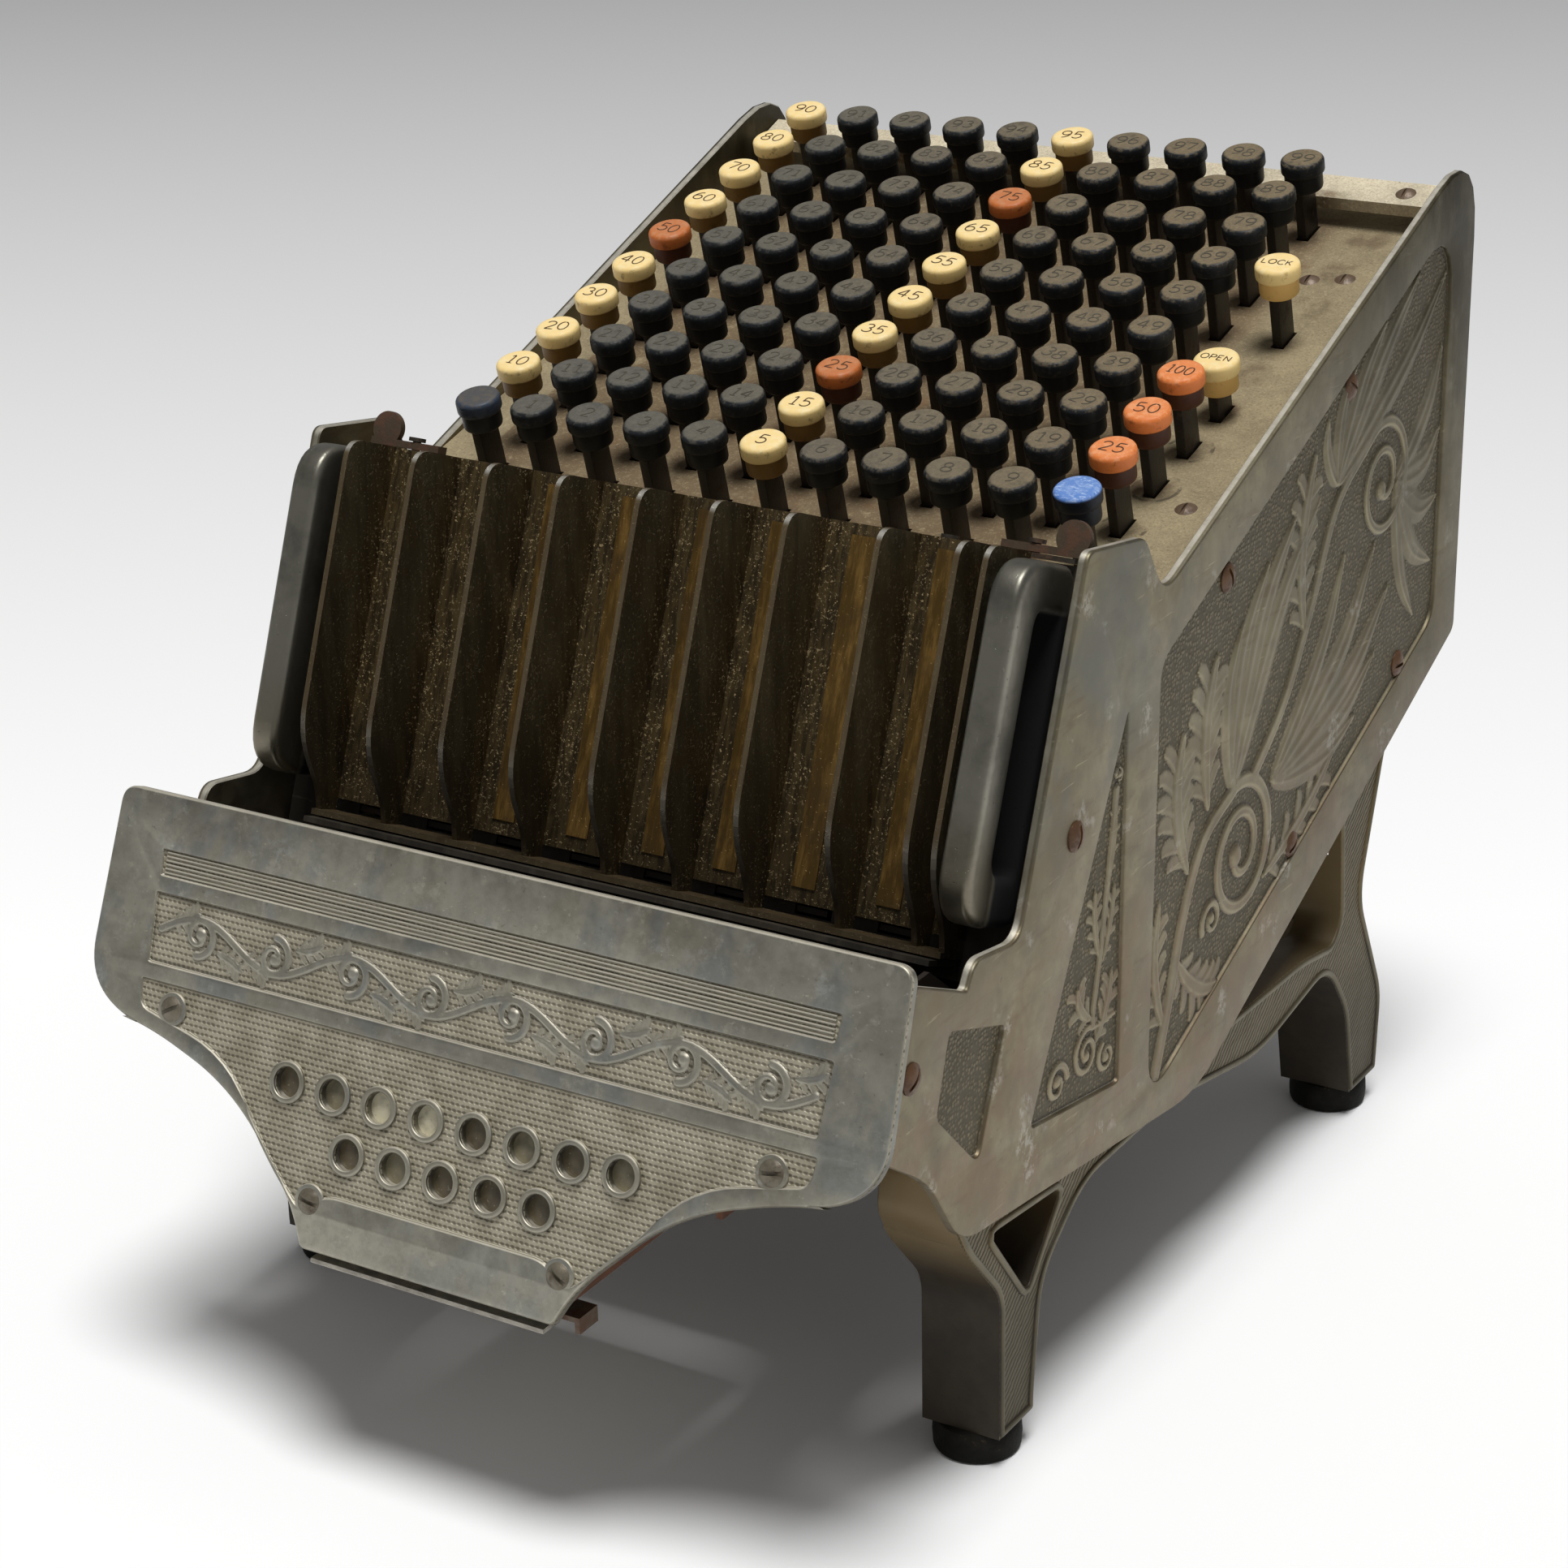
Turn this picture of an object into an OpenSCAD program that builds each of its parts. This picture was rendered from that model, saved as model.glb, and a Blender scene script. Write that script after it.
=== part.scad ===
// Keyboard coin dispenser: a sloped deck of press keys, a lift-out coin tray,
// a cast front plate with a coin hopper behind it, and cast sides and legs.
// Millimetres. X runs across, Y from front to back, Z up from the floor.
// The origin is the middle of the bounding box, at floor level.

/* [Case] */
// Outer width over the two side panels
body_w = 242; // [240:0.5:248]
// Thickness of a side panel
panel_t = 3; // [2.5:0.1:3.4]
// Rear face of the side panels, behind the first row of keys
rear_y = 212; // [210:0.5:222]
// Lowest point of the side panels above the floor
base_h = 62.4; // [60:0.2:64]
// Slope of the side panels' upper edge in degrees
edge_angle = 20.9; // [20.4:0.1:21.6]
// Depth of the ornament fields in the side panels
field_depth = 1.2; // [0.8:0.1:1.6]
// Thickness of the rear and bottom covers
cover_t = 1.5; // [1:0.1:2]

/* [Deck] */
// Height of the deck's top face below the first row of keys
deck_h = 217.5; // [216:0.25:219]
// Slope of the deck in degrees
deck_angle = 15.3; // [14.9:0.1:15.5]
// Thickness of the deck sheet
deck_t = 2; // [1.5:0.1:2.5]
// Length of the deck along its slope behind the first row of keys
deck_run = 205; // [202:0.5:206]
// Depth of the flanges at the deck's sides
deck_flange = 27; // [25:0.5:30]
// Width of the raised bar across the rear of the deck
rear_bar_w = 12; // [9:0.5:13]
// Thickness of that bar
rear_bar_t = 4; // [3:0.25:4.5]

/* [Keys] */
// Spacing of the keys across the deck
key_pitch_x = 19.05; // [18:0.05:19.3]
// Spacing of the key rows along the slope
key_pitch_y = 20.94; // [20:0.02:21.1]
// Diameter of a key's cap
cap_d = 13; // [11:0.25:15]
// Height of a key's cap
cap_h = 10; // [8:0.5:11]
// Height of the wider top band of a cap
cap_band = 4.4; // [3:0.2:6]
// Height of a key's top face above the deck
key_top = 25; // [24:0.5:27]
// Height of the OPEN key's top face above the deck
open_top = 17.8; // [17.5:0.1:20]
// Width of a key stem from front to back
stem_w = 9; // [6:0.5:10]
// Thickness of a key stem
stem_t = 3; // [2:0.25:4]
// Length of a stem below the deck's top face
stem_reach = 45; // [42:0.5:50]
// Travel of a key
key_travel = 6; // [4:0.5:7]
// Clearance round a stem in its slots
stem_gap = 0.5; // [0.35:0.05:0.8]

/* [Front] */
// Lean of the tray and the front plate from the vertical in degrees
front_lean = 21.2; // [20.8:0.1:21.6]
// Width of the front plate at its top edge
plate_w = 242; // [238:0.5:245]
// Height of the front plate along its slope
plate_h = 107; // [105:0.5:110]
// Thickness of the front plate
plate_t = 3.5; // [3:0.1:4]
// Radius of a porthole in the front plate
port_r = 4.1; // [3.6:0.1:4.5]
// Outer radius of the ring round a porthole
ring_r = 5.6; // [5.1:0.1:6]
// Spacing of the portholes
port_pitch = 14.85; // [14:0.05:15.3]
// Thickness of the panes behind the portholes
pane_t = 1; // [0.6:0.1:1.2]
// Half width of the coin cup below the hopper
cup_half = 39.5; // [37:0.5:40]
// Thickness of the hopper's sheet
hopper_t = 1.5; // [1:0.1:2]
// Thickness of the gate under the cup
gate_t = 2; // [1.5:0.1:2.5]

/* [Tray] */
// Height of the coin tray along its slope
tray_h = 104; // [100:0.5:104.5]
// Depth of the tray's channels
channel_depth = 21; // [18:0.5:21]
// Thickness of a rib between two channels
rib_t = 1.6; // [1.2:0.1:2.2]
// Thickness of the tray's back sheet
tray_back_t = 2; // [1.5:0.1:2.4]
// Width of a tray handle
handle_w = 9; // [7:0.25:9.5]
// Thickness of a tray handle's grip from front to back
grip_t = 12; // [10:0.5:13]
// Thickness of the brass wear strips
strip_t = 0.5; // [0.3:0.1:1]
// Stroke of a coin ejector
eject_travel = 12; // [8:0.5:13]

/* [Legs] */
// Width of a leg from side to side
leg_w = 23; // [18:0.5:24]
// Width of the arch between the legs
arch_w = 14; // [10:0.5:16]
// Diameter of a rubber foot
foot_d = 24; // [20:0.5:25]
// Height of a rubber foot
foot_h = 9; // [8:0.25:10]

/* [Hidden] */
$fn = 48;

// Steps in one rounded corner of an outline
corner_steps = 6;
// Running clearance between pieces that move past each other
run_gap = 0.5;
// Radial clearance of a pin or shaft in its bore
pin_gap = 0.05;
// Amount by which a cutting shape passes the face that it cuts
cut = 1;
half_w = body_w / 2;
half_in = half_w - panel_t;

// Front frame: its origin is the top front edge of the tray's ribs
front_y = -52.5;
front_z = deck_h + 26.1;
// Depth of the side panels' front edges behind the ribs' front edges
panel_set = 11.7;
// Height of the side panels' front corners above the ribs' tops
panel_rise = 2;
// Depth of the plate's front face, and height of its top edge, in the front frame
plate_set = -43;
plate_top = -101;
plate_back = plate_set + plate_t;
function front_pt(d, h) = [
  front_y + d * cos(front_lean) + h * sin(front_lean),
  front_z - d * sin(front_lean) + h * cos(front_lean)
];
// Depth in the front frame of a point at height z and depth y in the case's frame
function lean_y(d, z) = front_y + d / cos(front_lean) - (front_z - z) * tan(front_lean);
function deck_z(y) = deck_h + y * tan(deck_angle);

// The case is modelled round the first row of keys and then moved to its middle
front_end = front_pt(plate_set, plate_top - plate_h)[0];
mid_y = (front_end + rear_y) / 2;

// Outline helpers: a vertex is [y, z, length cut off at each side of the corner]
function unit(v) = v / norm(v);
function vertex(p, d) = [p[0], p[1], d];
function at(p) = [p[0], p[1]];
function corner(a, v, b, d) = [
  for (k = [0:corner_steps])
    let (
      u = k / corner_steps,
      p = v + d * unit(a - v),
      q = v + d * unit(b - v)
    )
    (1 - u) * (1 - u) * p + 2 * u * (1 - u) * v + u * u * q
];
function rounded(list) = [
  for (i = [0:len(list) - 1])
    let (
      n = len(list),
      a = list[(i + n - 1) % n],
      v = list[i],
      b = list[(i + 1) % n]
    )
    each (v[2] > 0 ? corner(at(a), at(v), at(b), v[2]) : [at(v)])
];

// Placement helpers
module case() {
  translate([0, -mid_y, 0]) children();
}
module on_deck() {
  case() translate([0, 0, deck_h]) rotate([deck_angle, 0, 0]) children();
}
module on_front() {
  case() translate([0, front_y, front_z]) rotate([-front_lean, 0, 0]) children();
}
module across(x0, x1) {
  translate([x0, 0, 0]) rotate([90, 0, 90]) linear_extrude(x1 - x0) children();
}
module both_sides() {
  children();
  mirror([1, 0, 0]) children();
}

// Side panels
notch_y = 2;
notch_z = deck_h + 0.2;
function edge_z(y) = notch_z + (y - notch_y) * tan(edge_angle);
rear_low_z = base_h + 81.6;
belly_y = 29.3;
chute_z = front_z - 95.6;
chute_back_z = chute_z + 2.8;
chute_front_z = chute_z + 11.3;
panel_outline = rounded([
  vertex(front_pt(panel_set, panel_rise), 3),
  [-9, deck_h + 18.5, 3],
  [notch_y, notch_z, 8],
  [rear_y, edge_z(rear_y), 30],
  [rear_y, rear_low_z, 3],
  [belly_y, base_h, 14],
  [-106, base_h + 18, 9],
  [-122, base_h + 42.5, 8],
  [lean_y(plate_back, base_h + 57), base_h + 57, 2],
  [lean_y(plate_back, chute_front_z), chute_front_z, 1],
  [-103, chute_z, 1.5],
  [-99, chute_z + 6.6, 4],
  [lean_y(panel_set, chute_back_z), chute_back_z, 6]
]);
tall_field = rounded([
  [-17, deck_h - 24.5, 3],
  [-19.5, base_h + 25.1, 2.5],
  [-70, base_h + 33.6, 2.5]
]);
wide_field = rounded([
  [1.5, edge_z(1.5) - 18.5, 6],
  [rear_y - 17, edge_z(rear_y - 17) - 14.4, 24],
  [rear_y - 18, base_h + 91.1, 8],
  [-1.7, base_h + 10.6, 15]
]);
small_field = rounded([
  [-112, base_h + 78.6, 2],
  [-83.5, base_h + 68.6, 2],
  [-97.5, base_h + 36.6, 5],
  [-118.5, base_h + 58.1, 2]
]);
// Screws: one in the front plate's ear, one in the front rod, two in the deck's flange and two
// in the rods that join the leg frames
leg_rod_front = [92, base_h + 52.6];
leg_rod_rear = [168, base_h + 83.6];
panel_screw_at = [
  front_pt(plate_back + 4.7, plate_top - 26.9),
  front_pt(32.4, -68.4),
  [43, deck_z(43) - 19.3],
  [123, deck_z(123) - 8.2],
  leg_rod_rear,
  leg_rod_front
];
screw_r = 1.5;
screw_hole_r = 1.8;
screw_len = 7;
head_r = 4.1;
head_h = 1.9;
// Play round a screw head that sits in an ornament field
head_gap = 0.4;
// Number of panel screws that sit on the plain border
edge_screws = 2;
slot_w = 1.1;
slot_deep = 0.9;

// Leg frames
leg_flange_t = 4;
leg_outline = rounded([
  [-101, base_h + 35.6, 4],
  [-104, base_h + 20.6, 4],
  [-98, base_h + 9.6, 5],
  [-80.5, base_h - 10.4, 6],
  [-80.5, foot_h, 0],
  [-62, foot_h, 0],
  [-62, foot_h + 5, 3],
  [-57.5, base_h - 15.4, 9],
  [-34, base_h + 1.1, 10],
  [20, base_h + 1.1, 12],
  [78, base_h - 9.9, 14],
  [128, base_h - 1.9, 10],
  [143.5, base_h - 22.4, 6],
  [150, foot_h, 0],
  [170, foot_h, 0],
  [172, base_h - 26.4, 7],
  [151, base_h + 13.6, 9],
  [leg_rod_rear[0] - 2, base_h + 57.6, 6],
  [leg_rod_rear[0] + 8, leg_rod_rear[1] - 6, 4],
  [leg_rod_rear[0] + 4, leg_rod_rear[1] + 6, 4],
  [leg_rod_rear[0] - 8, leg_rod_rear[1] + 4, 6],
  [leg_rod_front[0] + 4, leg_rod_front[1] + 7, 6],
  [leg_rod_front[0] - 8, leg_rod_front[1] + 7, 4],
  [60, base_h + 38.6, 8],
  [-20, base_h + 29.6, 8]
]);
leg_front_hole = rounded([
  [-86, base_h + 10.1, 4],
  [-47, base_h + 5.6, 4],
  [-66, base_h - 15.9, 3]
]);
leg_rear_hole = rounded([
  [52, base_h + 10.1, 4],
  [108, base_h + 8.6, 6],
  [131, base_h + 4.6, 4],
  [137, base_h + 11.6, 4],
  [134, base_h + 45.6, 5],
  [100, base_h + 29.6, 5]
]);
foot_y = [-71.3, 160.5];
foot_x = half_in - leg_w / 2;
// Distance from the first key row that no part of a leg frame passes
leg_reach = 185;

// Deck and keys
stem_row_0 = 6.8;
rows = 10;
deck_front = -38.3;
deck_rear = stem_row_0 + deck_run;
column_0_x = -94;
word_x = column_0_x + 10 * key_pitch_x + 0.5;
open_u = stem_row_0 + 3.97 * key_pitch_y;
lock_u = stem_row_0 + 6.01 * key_pitch_y;
cap_neck_r = cap_d / 2 - 0.8;
cap_edge = 1;
pocket_deep = 5;
pocket_gap = 0.1;
function column_x(c) = column_0_x + c * key_pitch_x;
function row_u(r) = stem_row_0 + r * key_pitch_y;
side_keys = [[0, row_u(0)], [0, row_u(1)], [0, row_u(2)], [0, row_u(3)]];
stem_points = [
  for (c = [0:9], r = [0:rows - 1]) [column_x(c), row_u(r)],
  for (r = [0:3]) [column_x(10), row_u(r)],
  [word_x, open_u],
  [word_x, lock_u]
];
guide_z = -30;
guide_t = 1.5;
guide_wall_x = half_in - 6;
lock_travel = 3;
lock_t = 2;
lock_z = guide_z - guide_t - run_gap;
lock_half = guide_wall_x - 6;
hanger_t = 1.5;
hanger_foot = 4;
lock_front = stem_row_0 - 14;
lock_rear = row_u(rows - 1) + stem_w / 2 + lock_travel + 2;
lock_run = lock_rear - lock_front;
lock_end_gap = 3;
bar_y = 192.5;
bar_z = deck_h + 62;
deck_screw_at = [[108.9, 41.2], [89.6, 167.9], [99.7, 170.7]];
deck_head_r = 3.1;
deck_head_h = 1.1;
bar_screw_x = half_in - 14;

// Covers and rods
rod_r = 4.5;
rod_at = [panel_screw_at[1], leg_rod_rear, leg_rod_front];
rod_half = [half_in, half_in - leg_flange_t, half_in - leg_flange_t];
rod_tap_deep = 9;

// Front plate, in the front frame with heights measured down from its top edge
plate_half = plate_w / 2;
plate_outline = rounded([
  [-plate_half, 0, 5],
  [plate_half, 0, 5],
  [plate_half + 2, -54, 12],
  [plate_half - 13, -61, 4],
  [plate_half - 22, -62.2, 10],
  [plate_half - 52, -72, 16],
  [plate_half - 77, -97, 9],
  [39.6, -plate_h, 1.5],
  [-39.6, -plate_h, 1.5],
  [77 - plate_half, -97, 9],
  [52 - plate_half, -72, 16],
  [22 - plate_half, -62.2, 10],
  [13 - plate_half, -61, 4],
  [-plate_half - 2, -54, 12]
]);
band_field = rounded([[-104.5, -14.8, 0.6], [104.5, -14.8, 0.6], [103.8, -21.6, 0.6], [-103.8, -21.6, 0.6]]);
name_field = rounded([[-104.5, -26.2, 0.8], [104.5, -26.2, 0.8], [103.5, -44.8, 0.8], [-103.5, -44.8, 0.8]]);
port_field = rounded([
  [-104.5, -49.5, 0.8],
  [104.5, -49.5, 0.8],
  [103.5, -57, 3],
  [72, -64, 14],
  [57, -84, 12],
  [42, -97.5, 3],
  [34, -92, 4],
  [-34, -92, 4],
  [-42, -97.5, 3],
  [-57, -84, 12],
  [-72, -64, 14],
  [-103.5, -57, 3]
]);
plate_field_depth = 0.8;
band_ribs = 6;
band_top = -15.2;
band_bottom = -21.2;
upper_ports = 8;
lower_ports = 5;
upper_port_z = -66.2;
lower_port_z = -80.3;
plate_screw_at = [[-93, -55.8], [93, -55.8], [-39, -94.6], [39, -94.6]];
plate_head_r = 3.5;
plate_head_h = 1.2;
seat_r = 4.6;
ear_w = 12;
ear_h = 16;
ear_d = 8;
ear_gap = 0.2;
pane_h = 12;
pane_margin = 8;

// Hopper, cup and gate
hopper_front = plate_back + pane_t + run_gap;
cup_z = front_pt(plate_back, plate_top - plate_h)[1] + 3;
cup_back_y = -80;
hopper_half = half_in - ear_w - ear_gap - run_gap;
hopper_top_z = cup_z + 79;
// Length of an extrusion that passes right through the case
through = 600;
hopper_outline = [
  [cup_half, cup_z],
  [cup_half, cup_z + 21],
  [cup_half + 6.5, cup_z + 29],
  [cup_half + 20.5, cup_z + 37],
  [hopper_half - 37.5, cup_z + 43],
  [hopper_half - 17.5, cup_z + 47],
  [hopper_half - 4, cup_z + 51],
  [hopper_half, cup_z + 57],
  [hopper_half, hopper_top_z]
];
hopper_back_z = cup_z + 61;
gate_pin_r = 1.5;
gate_knuckle_r = 3.2;
gate_lip = 2.5;
gate_pin_y = cup_back_y - 4;
gate_pin_z = cup_z - 5;
gate_front_y = lean_y(plate_back, cup_z) + run_gap;
gate_half = cup_half - 2.5;
gate_top = cup_z - run_gap;
lug_t = 2;
tab_grip = 5;
tab_reach = 6;
tab_w = 8;
tab_t = 1.5;
tab_drop = 4.5;
tab_inset = 0.3;

// Tray, in the front frame
// Gap between a handle and the side panel, and between a handle and the tray
side_gap = 5.6;
handle_gap = 3.6;
tray_x0 = -half_in + side_gap + handle_w + handle_gap;
tray_room = 2 * half_in - 2 * (side_gap + handle_w + handle_gap) - rib_t;
// Widths of the channels from the left, as shares of the tray's width
channel_share = [22.6, 24.2, 23.1, 25.5, 22.6, 22.2, 27.2, 22.4, 8];
channel_w = [for (w = channel_share) w * tray_room / sum_to(channel_share, len(channel_share))];
function sum_to(list, n) = n == 0 ? 0 : list[n - 1] + sum_to(list, n - 1);
function rib_x(i) = tray_x0 + sum_to(channel_w, i);
ribs = len(channel_w);
tray_x1 = rib_x(ribs);
rib_low = 88;
ledge_t = 1.6;
ledge_front = 12;
ledge_top = ledge_t - tray_h;
rib_outline = rounded([
  [0, 0, 6],
  [channel_depth, 0, 0],
  [channel_depth, ledge_top, 0],
  [channel_depth - 7, ledge_top, 0],
  [channel_depth - 9, -rib_low - 9, 3],
  [0, -rib_low + 6, 9]
]);
tray_back = channel_depth + tray_back_t;
slot_h = 3.4;
slot_half = 5.5;
eject_z = ledge_top + slot_h / 2;
eject_t = 1.6;
eject_half = 4.5;
eject_lug = 8;
handle_top = -2;
handle_low = -94;
handle_front = -5;
handle_back = tray_back + 1.5;
handle_x0 = tray_x1 + rib_t + handle_gap;
handle_outline = rounded([
  [handle_front, handle_top, 13],
  [handle_back, handle_top, 5],
  [handle_back, handle_low, 5],
  [handle_front, handle_low, 14]
]);
handle_hole = rounded([
  [handle_front + grip_t, handle_top - 12, 6],
  [handle_back - 4, handle_top - 12, 3],
  [handle_back - 4, handle_low + 13, 3],
  [handle_front + grip_t, handle_low + 13, 7]
]);
handle_round = 2.4;
stud_r = 4;
strip_w = 7;
strip_first = 2;
lift_gap = 2;

// Tray bed, latches and payout shaft, in the front frame
strip_rail_t = 1.2;
strip_rail_w = 9.5;
bed_y = tray_back + lift_gap;
bed_t = 1.5;
bed_top = -strip_rail_t - run_gap;
bed_low = -tray_h - 6;
shelf_t = 1.5;
shelf_front = 8;
shelf_half = 99;
cheek_x = half_in - 3;
cheek_t = 2;
shaft_y = 72;
shaft_z = -66;
shaft_r = 4;
finger_t = 3;
finger_len = 36;
finger_half = 3;
eject_tail = shaft_y - finger_t / 2 - 1;
eject_tip = bed_y - 0.6;
strip_end = half_in - 6;
strip_long = 69;
strip_short = strip_end - 24;
latch_y = tray_back + strip_rail_w - 3;
latch_t = 2;
latch_w = 4;
latch_z = 0.3;
latch_travel = 5;
latch_pin_x = strip_end - 14.4;
latch_pin_r = 1.2;
latch_slot_end = 1.6;
latch_x0 = latch_pin_x - latch_travel - 4;
tab_r = 4.8;
tab_x = strip_end - 4.1;
tab_thick = 2;
brace_pin_x = strip_long + 4;
rivet_r = 2.4;
rivet_h = 1.1;
rivet_gap = 0.3;

module panel_screw_holes(x0, x1, r) {
  for (p = panel_screw_at) {
    translate([x0, p[0], p[1]]) rotate([0, 90, 0]) cylinder(h = x1 - x0, r = r);
  }
}

module side_panel() {
  difference() {
    across(half_in, half_w) polygon(panel_outline);
    across(half_w - field_depth, half_w + cut) polygon(tall_field);
    across(half_w - field_depth, half_w + cut) polygon(wide_field);
    across(half_w - field_depth, half_w + cut) polygon(small_field);
    panel_screw_holes(half_in - cut, half_w + cut, screw_hole_r);
    for (i = [edge_screws:len(panel_screw_at) - 1]) {
      translate([half_w - field_depth, panel_screw_at[i][0], panel_screw_at[i][1]]) rotate([0, 90, 0]) {
        cylinder(h = field_depth + cut, r = head_r + head_gap);
      }
    }
  }
}
module side_panel_right() {
  color("silver") case() side_panel();
}
module side_panel_left() {
  color("silver") case() mirror([1, 0, 0]) side_panel();
}

module leg_layer(x0, x1) {
  across(x0, x1) difference() {
    intersection() {
      polygon(leg_outline);
      union() children();
    }
    polygon(leg_front_hole);
    polygon(leg_rear_hole);
  }
}
module front_leg_area() {
  polygon([
    [-leg_reach, -cut],
    [-leg_reach, base_h + 13.6],
    [-88, base_h + 13.6],
    [-69, base_h - 15.4],
    [-57, base_h - 15.4],
    [-57, -cut]
  ]);
}
module rear_leg_area() {
  polygon([
    [139, -cut],
    [139, base_h + 6.6],
    [152, base_h + 11.6],
    [leg_reach, base_h - 2.4],
    [leg_reach, -cut]
  ]);
}
module arch_area() {
  polygon([
    [-leg_reach, -cut],
    [-leg_reach, base_h + 15.6],
    [29, base_h + 8],
    [52, base_h + 8],
    [66, base_h + 21.6],
    [132, base_h + 34.6],
    [154, base_h + 15.6],
    [leg_reach, base_h - 2.4],
    [leg_reach, -cut]
  ]);
}
module leg_frame() {
  difference() {
    union() {
      leg_layer(half_in - leg_flange_t, half_in) translate([-leg_reach, -cut]) square(2 * leg_reach);
      leg_layer(half_in - arch_w, half_in - leg_flange_t) arch_area();
      leg_layer(half_in - leg_w, half_in - arch_w) {
        front_leg_area();
        rear_leg_area();
      }
    }
    panel_screw_holes(half_in - leg_flange_t - cut, half_in + cut, screw_hole_r);
  }
}
module leg_frame_right() {
  color("gray") case() leg_frame();
}
module leg_frame_left() {
  color("gray") case() mirror([1, 0, 0]) leg_frame();
}
module rubber_feet() {
  color("dimgray") case() for (x = [-foot_x, foot_x], y = foot_y) {
    translate([x, y, 0]) cylinder(h = foot_h, r = foot_d / 2);
  }
}

module stem_slots(gap_w, gap_t) {
  for (p = stem_points) {
    translate([p[0] - stem_t / 2 - gap_t, p[1] - stem_w / 2 - gap_w]) {
      square([stem_t + 2 * gap_t, stem_w + 2 * gap_w]);
    }
  }
}
module key_deck() {
  deck_half = half_in - 0.1;
  color("darkkhaki") difference() {
    union() {
      on_deck() translate([0, 0, -deck_t]) linear_extrude(deck_t) difference() {
        translate([-deck_half, deck_front]) square([2 * deck_half, deck_rear - deck_front]);
        stem_slots(stem_gap, stem_gap);
        for (p = deck_screw_at) {
          translate(p) circle(r = screw_hole_r);
        }
      }
      both_sides() on_deck() translate([deck_half - deck_t, deck_front, -deck_flange]) {
        cube([deck_t, deck_rear - deck_front - deck_flange * tan(deck_angle) - 2, deck_flange]);
      }
    }
    case() panel_screw_holes(-half_w, half_w, screw_hole_r);
  }
}
module deck_rear_bar() {
  bar_half = half_in - 0.2;
  color("tan") difference() {
    case() translate([-bar_half, bar_y, bar_z]) rotate([edge_angle, 0, 0]) {
      translate([0, 0, -rear_bar_t]) cube([2 * bar_half, rear_bar_w, rear_bar_t]);
    }
    case() translate([0, bar_y, bar_z]) rotate([edge_angle, 0, 0]) both_sides() {
      translate([bar_screw_x, rear_bar_w / 2, -rear_bar_t - cut]) {
        cylinder(h = rear_bar_t + 2 * cut, r = screw_hole_r);
      }
    }
  }
}
module stem_guide() {
  hanger_low = lock_z - lock_t - run_gap - hanger_t;
  color("slategray") on_deck() {
    translate([0, 0, guide_z - guide_t]) linear_extrude(guide_t) difference() {
      translate([-guide_wall_x, lock_front]) square([2 * guide_wall_x, lock_run]);
      stem_slots(stem_gap, stem_gap);
    }
    both_sides() translate([guide_wall_x - guide_t, lock_front, guide_z - guide_t]) {
      cube([guide_t, lock_run, -guide_z + guide_t - deck_t]);
    }
    both_sides() translate([lock_half + run_gap, lock_front, hanger_low]) {
      cube([hanger_t, lock_run, guide_z - guide_t - hanger_low]);
      translate([-hanger_foot, 0, 0]) cube([hanger_foot + hanger_t, lock_run, hanger_t]);
    }
  }
}
module lock_bar() {
  color("steelblue") on_deck() translate([0, 0, lock_z - lock_t]) linear_extrude(lock_t) difference() {
    translate([-lock_half, lock_front + lock_end_gap]) {
      square([2 * lock_half, lock_run - lock_end_gap - lock_travel]);
    }
    translate([0, -lock_travel / 2]) stem_slots(run_gap + lock_travel / 2, run_gap);
  }
}

module cap() {
  rotate_extrude() polygon([
    [0, 0],
    [cap_d / 2 - cap_edge, 0],
    [cap_d / 2 - 0.3, -0.35],
    [cap_d / 2, -cap_edge],
    [cap_d / 2, -cap_band],
    [cap_neck_r, -cap_band - 0.8],
    [cap_neck_r - 0.3, -cap_h + 0.5],
    [cap_neck_r - 0.8, -cap_h],
    [0, -cap_h]
  ]);
}
module key_at(x, u, top, tint) {
  pocket_w = stem_w + 2 * pocket_gap;
  pocket_t = stem_t + 2 * pocket_gap;
  on_deck() translate([x, u, 0]) {
    color(tint) translate([0, 0, top]) difference() {
      cap();
      translate([-pocket_t / 2, -pocket_w / 2, -cap_h - cut]) cube([pocket_t, pocket_w, pocket_deep + cut]);
    }
    color("black") translate([-stem_t / 2, -stem_w / 2, -stem_reach]) {
      cube([stem_t, stem_w, stem_reach + top - cap_h + pocket_deep - pocket_gap]);
    }
  }
}
module key_column(c) {
  for (r = [0:rows - 1]) {
    ivory = (c == 0 && r > 0) || c == 5;
    orange = (c == 0 && r == 5) || (c == 5 && (r == 2 || r == 7));
    key_at(column_x(c), row_u(r), key_top, orange ? "orangered" : (ivory ? "khaki" : "darkslategray"));
  }
}

module rear_cover() {
  cover_half = half_in - 0.2;
  color("gray") case() across(-cover_half, cover_half) polygon([
    [rear_y - 3 - cover_t, rear_low_z + 4],
    [rear_y - 3, rear_low_z + 4],
    [rear_y - 3, deck_z(rear_y) + 1],
    [rear_y - 3 - cover_t, deck_z(rear_y) + 1]
  ]);
}
module bottom_cover() {
  cover_half = half_in - leg_flange_t - 0.3;
  lift = 9;
  color("gray") case() across(-cover_half, cover_half) polygon([
    [-44, base_h + 11 + lift],
    [belly_y, base_h + lift],
    [rear_y - 6, rear_low_z + lift - 2.6],
    [rear_y - 6, rear_low_z + lift - 2.6 + cover_t],
    [belly_y, base_h + lift + cover_t],
    [-44, base_h + 11 + lift + cover_t]
  ]);
}
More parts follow.
